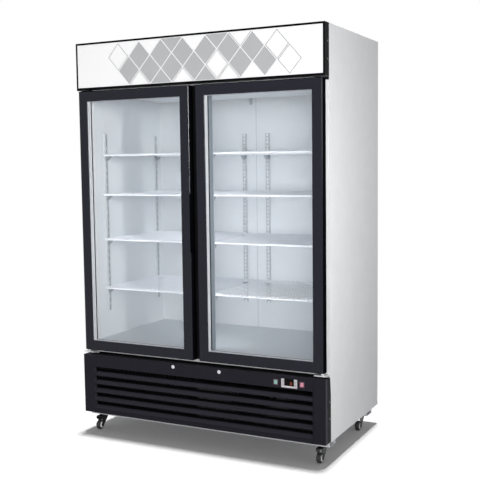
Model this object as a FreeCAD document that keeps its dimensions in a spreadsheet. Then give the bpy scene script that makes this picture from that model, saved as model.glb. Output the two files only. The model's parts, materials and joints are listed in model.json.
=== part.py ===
import FreeCAD, Part
import math
import operator
import os
from types import SimpleNamespace

import Sketcher
from FreeCAD import Placement, Rotation, Vector

# Two-door glass display freezer. Millimetres, X to the right, Y to the back, Z up from the floor.
# The sheet holds every driving size. Each solid is bound to it by expressions.

SIZES = {
    # outer cabinet
    "cabinet_width": 1382,
    "cabinet_depth": 725,
    "cabinet_top": 2054,
    "skirt_level": 104,
    "sheet": 1.5,
    "overrun": 5,
    "fit": 0.3,
    # insulated box
    "side_wall": 55,
    "back_wall": 60,
    "foam_bottom": 442,
    "floor_level": 492,
    "roof_wall": 64,
    "lintel_drop": 51,
    "liner": 1.5,
    "lintel_depth": 40,
    "seam_width": 3,
    "seam_depth": 0.8,
    "frame_depth": 20,
    "mullion_width": 126,
    "mullion_depth": 40,
    "mullion_bevel": 3,
    "mullion_overlap": 4,
    # header
    "header_depth": 52,
    "header_height": 238,
    "header_wall": 3,
    "header_lip": 2,
    "header_border": 10,
    "sign_thickness": 3,
    "edge_bevel": 1.5,
    "screw_radius": 4.5,
    "screw_sink": 1.5,
    "header_screw_place": 40,
    "header_screw_drop": 82,
    "header_screw_spacing": 80,
    "grille_screw_place": 57,
    "grille_screw_drop": 117,
    "grille_screw_spacing": 81,
    "lamp_width": 30,
    "lamp_depth": 10,
    "header_lamp_inset": 71,
    "mullion_lamp_inset": 86,
    # base grille
    "grille_projection": 61,
    "control_standoff": 3,
    "deck_level": 420,
    "grille_bottom": 108,
    "grille_skin": 3,
    "cap_width": 61,
    "slot_level": 352,
    "slot_height": 12,
    "louvre_pitch": 45.3,
    "louvre_depth": 35,
    "louvre_rise": 25,
    "toe_level": 128,
    "deck_lip": 8,
    "rib_width": 4,
    "cap_seam": 0.6,
    "flange_lap": 10,
    "taper_level": 334,
    # base frame and casters
    "rail_level": 84,
    "rail_gauge": 2.5,
    "rail_width": 76,
    "front_rail_lead": 5,
    "rear_rail_setback": 102,
    "pan_gauge": 2,
    "pan_flange": 40,
    "caster_inset": 53,
    "caster_trail": 32,
    "caster_plate_side": 62,
    "caster_plate_gauge": 3,
    "race_radius": 21,
    "race_height": 8,
    "kingpin_radius": 5,
    "kingpin_length": 9,
    "fork_gauge": 3,
    "fork_gap": 27,
    "fork_leg_width": 22,
    "horn_front": 24,
    "horn_rear": 40,
    "horn_drop": 9,
    "axle_radius": 4,
    "wheel_radius": 25,
    "wheel_width": 23,
    "wheel_crown": 4,
    "running_fit": 0.05,
    # doors
    "door_projection": 54,
    "door_thickness": 38,
    "door_bottom": 446,
    "door_top_gap": 8,
    "door_side_gap": 11,
    "door_gap": 34,
    "door_face": 53,
    "door_lip": 3,
    "door_bevel": 4,
    "lip_bevel": 1.5,
    "glass_seat": 12,
    "pane": 4,
    "spacer": 10,
    "gasket_inset": 14,
    "gasket_width": 26,
    "pull_length": 289,
    "pull_lift": 6.5,
    "pull_notch": 6,
    "pull_setback": 11,
    "pull_depth": 27,
    "pull_reach": 13,
    # door hinges
    "hinge_inset": 12,
    "hinge_setback": 19,
    "pin_radius": 5,
    "pin_depth": 16,
    "bracket_width": 60,
    "bracket_margin": 0.5,
    "bracket_gauge": 4,
    "bracket_lead": 16,
    "bracket_leg": 16,
    "bracket_level": 436,
    "collar_radius": 9,
    "upper_leg_width": 17,
    "bolt_radius": 4.5,
    "bolt_height": 4,
    "bolt_spacing": 28,
    # locks
    "lock_offset": 132,
    "lock_level": 404,
    "lock_radius": 9,
    "lock_flange": 2.5,
    "lock_body_radius": 8,
    "plug_radius": 5.5,
    "key_width": 1.4,
    "key_height": 7,
    "key_depth": 2,
    "bolt_width": 9,
    "bolt_gauge": 3,
    "bolt_reach": 56,
    "bolt_play": 1.5,
    # switches
    "switch_level": 385.5,
    "green_switch_inset": 254,
    "red_switch_inset": 118.5,
    "switch_width": 25,
    "switch_height": 29,
    "switch_lip": 1.2,
    "switch_border": 3.5,
    "switch_body_depth": 22,
    "rocker_pin_radius": 1.5,
    "rocker_pin_length": 1.6,
    "rocker_pin_setback": 4,
    "rocker_swell": 0.8,
    "rocker_tail": 5,
    "rocker_angle": 8,
    "rocker_play": 0.6,
    # temperature controller
    "controller_inset": 183.5,
    "controller_width": 81,
    "controller_height": 42,
    "controller_lip": 2,
    "controller_body_width": 71,
    "controller_body_height": 29,
    "controller_body_depth": 50,
    "window_width": 44,
    "window_height": 24,
    "window_depth": 1.2,
    "button_width": 9,
    "button_height": 11,
    "button_place": 31,
    "button_spread": 15,
    "button_depth": 4,
    "button_proud": 0.9,
    "button_seat": 1.3,
    "button_play": 0.3,
    # shelves
    "pilaster_width": 24,
    "pilaster_depth": 8,
    "pilaster_gauge": 1.5,
    "pilaster_foot": 144,
    "pilaster_head": 398,
    "pilaster_slot_width": 7,
    "pilaster_slot_height": 20,
    "pilaster_lead": 110,
    "pilaster_setback": 58,
    "rear_pilaster_place": 72,
    "mullion_pilaster_place": 48,
    "clip_width": 24,
    "clip_reach": 24,
    "clip_gauge": 3,
    "clip_height": 22,
    "shelf_lead": 64,
    "shelf_rear_gap": 21,
    "shelf_wall_gap": 13,
    "shelf_center_gap": 17,
    "shelf_wire": 5,
    "shelf_rod": 7,
    "shelf_wire_pitch": 36,
    # refrigeration
    "compressor_place": 40,
    "compressor_setback": 210,
    "compressor_radius": 92,
    "compressor_height": 215,
    "compressor_foot": 18,
    "compressor_round": 8,
    "compressor_base": 210,
    "compressor_base_gauge": 4,
    "foot_radius": 12,
    "condenser_inset": 391,
    "condenser_width": 420,
    "condenser_depth": 66,
    "condenser_height": 270,
    "condenser_lead": 24,
    "fin_pitch": 24,
    "fin_gap": 18,
    "fin_depth": 12,
    "shroud_depth": 30,
    "shroud_gauge": 2,
    "condenser_fan_radius": 122,
    "fan_clearance": 6,
    "fan_depth": 26,
    "fan_hub_radius": 22,
    "fan_pitch_angle": 28,
    "fan_blade_gauge": 2.5,
    "fan_blade_width": 46,
    "shaft_radius": 4,
    "shaft_length": 34,
    "motor_radius": 40,
    "motor_length": 55,
    "motor_arm": 16,
    "drain_pan_width": 300,
    "drain_pan_depth": 220,
    "drain_pan_height": 55,
    "drain_pan_inset": 211,
    "drain_pan_setback": 270,
    "drain_pan_wall": 2,
    "pipe_radius": 5,
    "pipe_offset": 20,
    "pipe_height": 80,
    "pipe_inset": 40,
    # evaporator
    "evaporator_side_gap": 60,
    "evaporator_height": 150,
    "evaporator_depth": 170,
    "evaporator_gap": 12,
    "housing_side_gap": 36,
    "housing_height": 205,
    "housing_depth": 393,
    "housing_slope": 26,
    "housing_gauge": 1.5,
    "housing_rear_gap": 60,
    "evaporator_fan_radius": 80,
    "evaporator_fan_place": 270,
    "evaporator_fan_drop": 98,
    # rear grille
    "rear_slot_length": 300,
    "rear_slot_height": 10,
    "rear_slot_pitch": 30,
    "rear_bank_pitch": 400,
    "rear_slot_level": 160,
    "rear_cover_gap": 1,
    "gland_radius": 6,
    "gland_wall": 4,
    "gland_length": 12,
    "gland_inset": 101,
    "gland_level": 395,
}
LOUVRE_SLOTS = 5
SPINE_SHARE = 0.33
REAR_ROWS = 8
REAR_BANKS = (-1, 0, 1)
PILASTER_SLOTS = 24
PANES = 3
SHELF_SHARES = {"one": 0.14, "two": 0.416, "three": 0.667, "four": 0.887}
FAN_BLADES = 4
HEXAGON = range(0, 360, 60)
FLAT_SHARE = math.cos(math.radians(30))

doc = FreeCAD.newDocument("display_freezer")
sheet = doc.addObject("Spreadsheet::Sheet", "dims")
for row, (alias, number) in enumerate(SIZES.items(), start=1):
    sheet.set(f"A{row}", alias)
    sheet.set(f"B{row}", str(number))
    sheet.setAlias(f"B{row}", alias)
doc.recompute()


class Size:
    """A length, held as its number and as the expression that gives it."""

    def __init__(self, text, value):
        self.text = text
        self.value = value

    def joined(self, sign, work, other, swapped=False):
        other = as_size(other)
        first, second = (other, self) if swapped else (self, other)
        return Size(f"({first.text} {sign} {second.text})", work(first.value, second.value))

    def __add__(self, other):
        return self.joined("+", operator.add, other)

    def __radd__(self, other):
        return self.joined("+", operator.add, other, True)

    def __sub__(self, other):
        return self.joined("-", operator.sub, other)

    def __rsub__(self, other):
        return self.joined("-", operator.sub, other, True)

    def __mul__(self, other):
        return self.joined("*", operator.mul, other)

    def __rmul__(self, other):
        return self.joined("*", operator.mul, other, True)

    def __truediv__(self, other):
        return self.joined("/", operator.truediv, other)

    def __neg__(self):
        return 0 - self


def as_size(item):
    """A plain number becomes a Size that says itself."""
    return item if isinstance(item, Size) else Size(repr(item), item)


d = SimpleNamespace(**{alias: Size(f"dims.{alias}", sheet.get(alias)) for alias in SIZES})
nodes = {}

# Places that several pieces share.
half = d.cabinet_width / 2
back = (d.cabinet_depth + d.grille_projection) / 2
front = back - d.cabinet_depth
frame_back = front + d.frame_depth
grille_front = front - d.grille_projection
panel_front = grille_front + d.control_standoff
door_front = front - d.door_projection
door_back = door_front + d.door_thickness
header_front = front - d.header_depth
skin_half = half - d.sheet
skin_top = d.cabinet_top - d.sheet
inner_half = half - d.side_wall
inner_back = back - d.back_wall
header_bottom = d.cabinet_top - d.header_height
door_top = header_bottom - d.door_top_gap
opening_top = header_bottom - d.lintel_drop
ceiling = d.cabinet_top - d.roof_wall
door_edge = half - d.door_side_gap
hinge_x = door_edge - d.hinge_inset
hinge_y = door_front + d.hinge_setback
strip_bottom = d.slot_level + d.slot_height / 2
pan_top = d.skirt_level + d.pan_gauge
mullion_back = front + d.mullion_depth
louvre_half = half - d.cap_width
green_switch_x = half - d.green_switch_inset
red_switch_x = half - d.red_switch_inset
controller_x = half - d.controller_inset
pilaster_bottom = d.floor_level + d.pilaster_foot
pilaster_top = ceiling - d.pilaster_head
pilaster_front_y = front + d.pilaster_lead
pilaster_rear_y = inner_back - d.pilaster_setback
housing_half = inner_half - d.housing_side_gap
housing_front = inner_back - d.housing_depth
housing_bottom = ceiling - d.housing_height
evaporator_fan_z = ceiling - d.evaporator_fan_drop
condenser_x = d.condenser_inset - half
shelf_levels = {
    name: pilaster_bottom + (pilaster_top - pilaster_bottom) * share
    for name, share in SHELF_SHARES.items()
}


# Small makers of document objects.

def bind(item, **bindings):
    """Ties properties to expressions; a double underscore stands for a dot."""
    for name, size in bindings.items():
        item.setExpression(name.replace("__", "."), as_size(size).text)
    return item


def move(item, x=0, y=0, z=0):
    return bind(item, Placement__Base__x=x, Placement__Base__y=y, Placement__Base__z=z)


def box(name, xs, ys, zs):
    """A block between low and high places along each axis."""
    block = doc.addObject("Part::Box", name)
    bind(block, Length=xs[1] - xs[0], Width=ys[1] - ys[0], Height=zs[1] - zs[0])
    return move(block, xs[0], ys[0], zs[0])


AXIS_TURNS = {
    "x": Rotation(Vector(0, 1, 0), 90),
    "y": Rotation(Vector(1, 0, 0), -90),
    "z": Rotation(),
}


def cylinder(name, axis, place, radius, length):
    """A round bar that starts at a place and runs along one axis."""
    bar = doc.addObject("Part::Cylinder", name)
    bar.Placement = Placement(Vector(), AXIS_TURNS[axis])
    bind(bar, Radius=radius, Height=length)
    return move(bar, *place)


PLANE_TURNS = {
    "xy": Rotation(),
    "xz": Rotation(Vector(1, 0, 0), 90),
    "yz": Rotation(Vector(0, 1, 0), Vector(0, 0, 1), Vector(1, 0, 0), "ZXY"),
}


def sketch(name, plane, *outlines):
    """A sketch of closed outlines whose points are bound to the sheet."""
    drawing = doc.addObject("Sketcher::SketchObject", name)
    drawing.Placement = Placement(Vector(), PLANE_TURNS[plane])
    for outline in outlines:
        points = [(as_size(across), as_size(up)) for across, up in outline]
        ends = [Vector(across.value, up.value, 0) for across, up in points]
        first = drawing.GeometryCount
        count = len(points)
        for index in range(count):
            drawing.addGeometry(Part.LineSegment(ends[index], ends[(index + 1) % count]))
        for index in range(count):
            follower = first + (index + 1) % count
            drawing.addConstraint(Sketcher.Constraint("Coincident", first + index, 2, follower, 1))
        for index, pair in enumerate(points):
            for kind, size in zip(("DistanceX", "DistanceY"), pair):
                rule = Sketcher.Constraint(kind, -1, 1, first + index, 1, size.value)
                number = drawing.addConstraint(rule)
                drawing.setExpression(f"Constraints[{number}]", size.text)
    return drawing


def prism(name, plane, outlines, low, high):
    """Outlines drawn in a plane and drawn out between two places on its normal."""
    drawing = sketch(name + "_sketch", plane, *outlines)
    start = {"xy": {"z": low}, "xz": {"y": high}, "yz": {"x": low}}[plane]
    move(drawing, **start)
    solid = doc.addObject("Part::Extrusion", name)
    solid.Base = drawing
    solid.DirMode = "Normal"
    solid.Solid = True
    return bind(solid, LengthFwd=high - low)


def turned(name, outline):
    """An outline of radius and height turned about the upright axis."""
    solid = doc.addObject("Part::Revolution", name)
    solid.Source = sketch(name + "_sketch", "xz", outline)
    solid.Axis = Vector(0, 0, 1)
    solid.Angle = 360
    solid.Solid = True
    return solid


def fuse(name, *pieces):
    solid = doc.addObject("Part::MultiFuse", name)
    solid.Shapes = list(pieces)
    solid.Refine = True
    return solid


def cut(name, base, *tools):
    solid = doc.addObject("Part::Cut", name)
    solid.Base = base
    solid.Tool = tools[0] if len(tools) == 1 else fuse(name + "_tools", *tools)
    return solid


def group(name, *pieces):
    """Separate solids that are kept as one object."""
    bundle = doc.addObject("Part::Compound", name)
    bundle.Links = list(pieces)
    return bundle


def placed(name, source, x=0, y=0, z=0, turn=None):
    """A copy of a piece at another place, turned about the origin first."""
    copy = group(name, source)
    if turn:
        copy.Placement = Placement(Vector(), turn)
    return move(copy, x, y, z)


def mirrored(name, source):
    """The same piece on the other side of the middle plane."""
    twin = doc.addObject("Part::Mirroring", name)
    twin.Source = source
    twin.Normal = Vector(1, 0, 0)
    return twin


def beveled(name, base, size, wanted):
    """Chamfers every edge of a solid that the test wants."""
    doc.recompute()
    solid = doc.addObject("Part::Chamfer", name)
    solid.Base = base
    edges = enumerate(base.Shape.Edges, start=1)
    solid.Edges = [(number, size.value, size.value) for number, edge in edges if wanted(edge)]
    return solid


def lies_at(axis, place):
    """A test for edges that lie wholly in one plane across an axis."""
    slack = d.fit.value / 10

    def wanted(edge):
        bounds = edge.BoundBox
        low = getattr(bounds, axis + "Min")
        high = getattr(bounds, axis + "Max")
        return abs(low - place.value) < slack and abs(high - place.value) < slack

    return wanted


def lies_within(xs, zs):
    """A test for edges whose middle lies in or on a rectangle seen from the front."""
    slack = d.fit.value

    def wanted(edge):
        middle = edge.BoundBox.Center
        in_x = xs[0].value - slack < middle.x < xs[1].value + slack
        in_z = zs[0].value - slack < middle.z < zs[1].value + slack
        return in_x and in_z

    return wanted


def six_sided(name, plane, middle, radius, low, high):
    """A bar with six flats at the radius from its middle line."""
    corner = radius / FLAT_SHARE
    turns = [math.radians(turn) for turn in HEXAGON]
    shares = [(math.cos(turn), math.sin(turn)) for turn in turns]
    outline = [(middle[0] + corner * across, middle[1] + corner * up) for across, up in shares]
    return prism(name, plane, [outline], low, high)


def node(label, item):
    item.Label = label
    nodes[label] = item
    return item


def span(middle, width):
    return (middle - width / 2, middle + width / 2)


def both(size):
    return (-size, size)


def frame_outlines(xs, zs, border):
    """A rectangle and the smaller one inside it."""
    outer = rectangle(xs, zs)
    inner = rectangle((xs[0] + border, xs[1] - border), (zs[0] + border, zs[1] - border))
    return [outer, inner]


def rectangle(xs, zs):
    return [(xs[0], zs[0]), (xs[1], zs[0]), (xs[1], zs[1]), (xs[0], zs[1])]


def pair(label, right):
    """A node with a piece and its mirror image."""
    return node(label, group(label, mirrored(label + "_left", right), right))


# Outer cabinet.

def side_panels():
    outline = [
        (front, skin_top),
        (front, d.deck_level),
        (front + d.flange_lap, d.taper_level),
        (front + d.flange_lap, d.skirt_level),
        (back - d.sheet, d.skirt_level),
        (back - d.sheet, skin_top),
    ]
    right = node("right_side_panel", prism("right_side", "yz", [outline], skin_half, half))
    node("left_side_panel", mirrored("left_side", right))


def top_panel():
    node("top_panel", box("top", both(half), (front, back), (skin_top, d.cabinet_top)))


def rear_panel():
    sheet_ys = (back - d.sheet, back)
    node("rear_panel", box("rear", both(skin_half), sheet_ys, (d.foam_bottom, skin_top)))


def rear_grille():
    sheet_ys = (back - d.sheet, back)
    cover_zs = (pan_top, d.foam_bottom - d.rear_cover_gap)
    cover = box("rear_cover", both(skin_half - d.rear_cover_gap), sheet_ys, cover_zs)
    collar = cylinder(
        "gland_collar",
        "y",
        (d.gland_inset - half, back - d.gland_length, d.gland_level),
        d.gland_radius + d.gland_wall,
        d.gland_length,
    )
    bore = cylinder(
        "gland_bore",
        "y",
        (d.gland_inset - half, back - d.gland_length - d.overrun, d.gland_level),
        d.gland_radius,
        d.gland_length + d.overrun * 2,
    )
    slots = []
    for bank in REAR_BANKS:
        for step in range(REAR_ROWS):
            xs = span(d.rear_bank_pitch * bank, d.rear_slot_length)
            zs = span(d.rear_slot_level + d.rear_slot_pitch * step, d.rear_slot_height)
            cut_ys = (back - d.sheet - d.overrun, back + d.overrun)
            slots.append(box(f"rear_slot_{bank + 1}_{step}", xs, cut_ys, zs))
    cover = cut("rear_cover_slotted", fuse("rear_cover_collared", cover, collar), bore, *slots)
    node("rear_grille", cover)


# Insulated box.

def cavity(name, grow, start):
    """The storage space with its mouth, grown on every wall."""
    sides = both(inner_half + grow)
    chamber_front = frame_back + d.lintel_depth + d.liner - grow
    chamber = box(
        name + "_chamber",
        sides,
        (chamber_front, inner_back + grow),
        (d.floor_level - grow, ceiling + grow),
    )
    mouth_zs = (d.floor_level - grow, opening_top + grow)
    mouth = box(name + "_mouth", sides, (start, inner_back + grow), mouth_zs)
    return fuse(name, chamber, mouth)


def insulation():
    block = box(
        "foam_block",
        both(skin_half),
        (frame_back, back - d.sheet),
        (d.foam_bottom, skin_top),
    )
    node("foam_insulation", cut("foam", block, cavity("foam_cavity", d.liner, frame_back - d.overrun)))


def inner_liner():
    shell = cut(
        "liner_shell",
        cavity("liner_outside", d.liner, frame_back),
        cavity("liner_inside", 0, frame_back - d.overrun),
    )
    seam = box(
        "liner_seam",
        both(d.seam_width / 2),
        (inner_back - d.overrun, inner_back + d.seam_depth),
        (d.floor_level, ceiling),
    )
    node("inner_liner", cut("liner", shell, seam))


def front_frame():
    outlines = [
        rectangle(both(skin_half), (d.deck_level, skin_top)),
        rectangle(both(inner_half), (d.floor_level, opening_top)),
    ]
    ring = prism("face_frame", "xz", outlines, front, frame_back)
    node("front_frame", cut("face_frame_notched", ring, mullion_face("mullion_notch")))


def mullion_face(name):
    """The front plate of the mullion, which is let into the rails above and below."""
    zs = (d.door_bottom - d.mullion_overlap, door_top + d.mullion_overlap)
    return box(name, both(d.mullion_width / 2), (front, frame_back), zs)


def center_mullion():
    side = d.mullion_width / 2
    outline = [
        (-side, front),
        (side, front),
        (side, mullion_back - d.mullion_bevel),
        (side - d.mullion_bevel, mullion_back),
        (d.mullion_bevel - side, mullion_back),
        (-side, mullion_back - d.mullion_bevel),
    ]
    post = prism("mullion_post", "xy", [outline], d.floor_level, opening_top)
    node("center_mullion", fuse("mullion", post, mullion_face("mullion_plate")))


# Header.

def header():
    outer_zs = (header_bottom, d.cabinet_top)
    outer = box("header_block", both(half), (header_front, front), outer_zs)
    hollow = box(
        "header_hollow",
        both(half - d.header_wall),
        (header_front + d.header_lip, front + d.overrun),
        (header_bottom + d.header_wall, d.cabinet_top - d.header_wall),
    )
    window = box(
        "header_window",
        both(half - d.header_border),
        (header_front - d.overrun, front),
        (header_bottom + d.header_border, d.cabinet_top - d.header_border),
    )
    shell = cut("header_shell", outer, hollow, window)
    shell = beveled("header_edges", shell, d.edge_bevel, lies_at("Y", header_front))
    high = d.cabinet_top - d.header_screw_drop
    levels = (high, high - d.header_screw_spacing)
    seats = screw_seats("header", header_front + d.header_screw_place, levels)
    mirrors = [mirrored(f"header_seat_left_{index}", seat) for index, seat in enumerate(seats)]
    node("header_housing", cut("header_seated", shell, *seats, *mirrors))
    inset = d.header_wall + d.fit
    node(
        "header_sign",
        box(
            "sign",
            both(half - inset),
            span(header_front + d.header_lip + d.sign_thickness / 2, d.sign_thickness),
            (header_bottom + inset, d.cabinet_top - inset),
        ),
    )


def lamp_strips():
    header_lamp = box(
        "header_lamp",
        both(half - d.header_lamp_inset),
        (front - d.lamp_depth, front),
        span((header_bottom + d.cabinet_top) / 2, d.lamp_width),
    )
    mullion_lamp = box(
        "mullion_lamp",
        both(d.lamp_width / 2),
        (mullion_back, mullion_back + d.lamp_depth),
        (d.floor_level + d.mullion_lamp_inset, opening_top - d.mullion_lamp_inset),
    )
    node("lamp_strips", group("lamps", header_lamp, mullion_lamp))


# Base grille.

def louvre_outline(foot):
    """A slanting blade whose foot stands at the front and whose head lies back and up."""
    head = foot + d.louvre_rise
    return [
        (panel_front, foot),
        (panel_front + d.louvre_depth, head),
        (panel_front + d.louvre_depth, head - d.grille_skin),
        (panel_front + d.grille_skin, foot - d.grille_skin),
        (panel_front, foot - d.grille_skin),
    ]


def strip_outline():
    """The upper strip that carries the controls, the deck behind it and its raised rear lip."""
    under = d.deck_level - d.grille_skin
    return [
        (panel_front, strip_bottom),
        (panel_front, d.deck_level),
        (front - d.grille_skin, d.deck_level),
        (front - d.grille_skin, d.deck_level + d.deck_lip),
        (front, d.deck_level + d.deck_lip),
        (front, under),
        (panel_front + d.grille_skin, under),
        (panel_front + d.grille_skin, strip_bottom),
    ]


def base_grille():
    sides = both(louvre_half)
    sections = [prism("grille_strip", "yz", [strip_outline()], *sides)]
    skin_ys = (panel_front, panel_front + d.grille_skin)
    sections.append(box("grille_toe", sides, skin_ys, (d.grille_bottom, d.toe_level)))
    for step in range(LOUVRE_SLOTS):
        foot = strip_bottom - d.louvre_pitch * (step + 1)
        sections.append(prism(f"louvre_{step}", "yz", [louvre_outline(foot)], *sides))
    rib_ys = (panel_front, panel_front + d.louvre_depth)
    rib_zs = (d.grille_bottom, d.deck_level - d.grille_skin)
    for label, side in (("left", -1), ("right", 1)):
        middle = (louvre_half - d.rib_width / 2) * side
        sections.append(box(f"grille_rib_{label}", span(middle, d.rib_width), rib_ys, rib_zs))
    spine_ys = (panel_front + d.louvre_depth - d.rib_width, panel_front + d.louvre_depth)
    spine_zs = (foot + d.louvre_rise - d.grille_skin, d.deck_level - d.grille_skin)
    for label, side in (("left", -1), ("right", 1)):
        middle = louvre_half * SPINE_SHARE * side
        sections.append(box(f"grille_spine_{label}", span(middle, d.rib_width), spine_ys, spine_zs))
    through = (grille_front - d.overrun, panel_front + d.grille_skin + d.overrun)
    holes = []
    for label, place in (("green", green_switch_x), ("red", red_switch_x)):
        xs = span(place, d.switch_width - d.switch_border)
        zs = span(d.switch_level, d.switch_height - d.switch_border)
        holes.append(box(f"{label}_switch_hole", xs, through, zs))
    holes.append(
        box(
            "controller_hole",
            span(controller_x, d.controller_body_width),
            through,
            span(d.switch_level, d.controller_body_height),
        )
    )
    for label, side in (("left", -1), ("right", 1)):
        place = d.lock_offset * side
        start = (place, through[0], d.lock_level)
        holes.append(
            cylinder(f"{label}_lock_hole", "y", start, d.lock_body_radius + d.fit, through[1] - through[0])
        )
        holes.append(lock_sweep(f"{label}_deck_slot", side, (d.deck_level - d.grille_skin, d.deck_level)))
    node("base_grille", cut("grille", fuse("grille_panel", *sections), *holes))


def grille_end_caps():
    xs = (louvre_half + d.cap_seam, half)
    zs = (d.grille_bottom, d.deck_level)
    face = box("cap_face", xs, (panel_front, panel_front + d.grille_skin), zs)
    deck = box("cap_deck", xs, (panel_front, front), (d.deck_level - d.grille_skin, d.deck_level))
    outline = [
        (panel_front, d.grille_bottom),
        (panel_front, d.deck_level),
        (front, d.deck_level),
        (front + d.flange_lap, d.taper_level),
        (front + d.flange_lap, d.grille_bottom),
    ]
    cheek = prism("cap_cheek", "yz", [outline], half - d.grille_skin, half)
    cap = beveled("cap_edges", fuse("cap_shell", face, deck, cheek), d.edge_bevel, lies_at("Y", panel_front))
    high = d.deck_level - d.grille_screw_drop
    levels = (high, high - d.grille_screw_spacing)
    seats = screw_seats("grille", panel_front + d.grille_screw_place, levels)
    pair("grille_end_caps", cut("cap_seated", cap, *seats))


def screw_seats(name, y, levels):
    """Sinks for screw heads in the right side of a cover."""
    seats = []
    for index, level in enumerate(levels):
        place = (half - d.screw_sink, y, level)
        seats.append(cylinder(f"{name}_seat_{index}", "x", place, d.screw_radius, d.screw_sink + d.overrun))
    return seats


# Locks, switches and the controller.

lock_bolt_ys = (hinge_y - d.bolt_gauge / 2, hinge_y + d.bolt_gauge / 2)


def lock_sweep(name, side, zs):
    """The room that a lock bolt needs where it turns up through a plate."""
    place = d.lock_offset * side
    ahead = d.bolt_reach * side
    margin = (d.bolt_width / 2 + d.bolt_play) * side
    ends = (place - margin, place + ahead)
    ordered = ends if side > 0 else (ends[1], ends[0])
    ys = (lock_bolt_ys[0] - d.bolt_play, lock_bolt_ys[1] + d.bolt_play)
    return box(name, ordered, ys, (zs[0] - d.overrun, zs[1] + d.overrun))


def lock_body(name, place):
    flange = cylinder(
        name + "_flange",
        "y",
        (place, panel_front - d.lock_flange, d.lock_level),
        d.lock_radius,
        d.lock_flange,
    )
    seat = (place, panel_front, d.lock_level)
    length = lock_bolt_ys[0] - d.bolt_play - panel_front
    barrel = cylinder(name + "_barrel", "y", seat, d.lock_body_radius, length)
    bore = cylinder(
        name + "_bore",
        "y",
        (place, panel_front - d.lock_flange - d.overrun, d.lock_level),
        d.plug_radius + d.running_fit,
        length + d.lock_flange + d.overrun * 2,
    )
    return cut(name, fuse(name + "_solid", flange, barrel), bore)


def lock_plug(name, side):
    """A keyed plug whose tail carries the bolt, shown with the bolt lying level."""
    place = d.lock_offset * side
    nose = panel_front - d.lock_flange
    plug = cylinder(name + "_core", "y", (place, nose, d.lock_level), d.plug_radius, lock_bolt_ys[1] - nose)
    slot = box(
        name + "_keyway",
        span(place, d.key_width),
        (nose - d.overrun, nose + d.key_depth),
        span(d.lock_level, d.key_height),
    )
    tail = d.bolt_width / 2
    middle = place + (d.bolt_reach / 2 - tail) * side
    bolt = box(name + "_bolt", span(middle, d.bolt_reach), lock_bolt_ys, span(d.lock_level, d.bolt_width))
    return cut(name, fuse(name + "_solid", plug, bolt), slot)


def locks():
    bodies = [lock_body("left_lock_body", -d.lock_offset), lock_body("right_lock_body", d.lock_offset)]
    node("lock_bodies", group("lock_barrels", *bodies))
    node("left_lock_plug", lock_plug("left_plug", -1))
    node("right_lock_plug", lock_plug("right_plug", 1))


rocker_axis_y = panel_front - d.switch_lip + d.rocker_pin_setback


def switch_body(name, place):
    flange = box(
        name + "_flange",
        span(place, d.switch_width),
        (panel_front - d.switch_lip, panel_front),
        span(d.switch_level, d.switch_height),
    )
    core_width = d.switch_width - d.switch_border
    core_height = d.switch_height - d.switch_border
    core = box(
        name + "_core",
        span(place, core_width),
        (panel_front, panel_front + d.switch_body_depth),
        span(d.switch_level, core_height),
    )
    well = box(
        name + "_well",
        span(place, core_width - d.switch_border),
        (panel_front - d.switch_lip - d.overrun, rocker_axis_y + d.rocker_tail + d.rocker_swell),
        span(d.switch_level, core_height - d.switch_border),
    )
    pin_room = cylinder(
        name + "_pivot",
        "x",
        (place - core_width / 2 + d.fit, rocker_axis_y, d.switch_level),
        d.rocker_pin_radius + d.running_fit,
        core_width - d.fit * 2,
    )
    return cut(name, fuse(name + "_solid", flange, core), well, pin_room)


def rocker(name, place):
    """A paddle with a shallow valley, turned so that its upper end is pressed in."""
    width = d.switch_width - d.switch_border * 2 - d.rocker_play * 2
    reach = (d.switch_height - d.switch_border * 2) / 2 - d.rocker_play * 2
    outline = [
        (d.rocker_tail, 0),
        (-d.rocker_pin_setback / 2, -reach),
        (-d.rocker_pin_setback - d.rocker_swell / 2, -reach),
        (-d.rocker_pin_setback, 0),
        (-d.rocker_pin_setback - d.rocker_swell / 2, reach),
        (-d.rocker_pin_setback / 2, reach),
    ]
    paddle = prism(name + "_paddle", "yz", [outline], -width / 2, width / 2)
    length = width + d.rocker_pin_length * 2
    pin = cylinder(name + "_pin", "x", (-length / 2, 0, 0), d.rocker_pin_radius, length)
    tilt = Rotation(Vector(1, 0, 0), -d.rocker_angle.value)
    return placed(name, fuse(name + "_solid", paddle, pin), place, rocker_axis_y, d.switch_level, tilt)


def switches():
    bodies = [
        switch_body("green_switch_body", green_switch_x),
        switch_body("red_switch_body", red_switch_x),
    ]
    node("switch_bodies", group("switch_frames", *bodies))
    node("green_rocker", rocker("green_paddle", green_switch_x))
    node("red_rocker", rocker("red_paddle", red_switch_x))


BUTTONS = {
    "upper_left_key": (-1, 1),
    "lower_left_key": (-1, -1),
    "upper_right_key": (1, 1),
    "lower_right_key": (1, -1),
}


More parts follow.
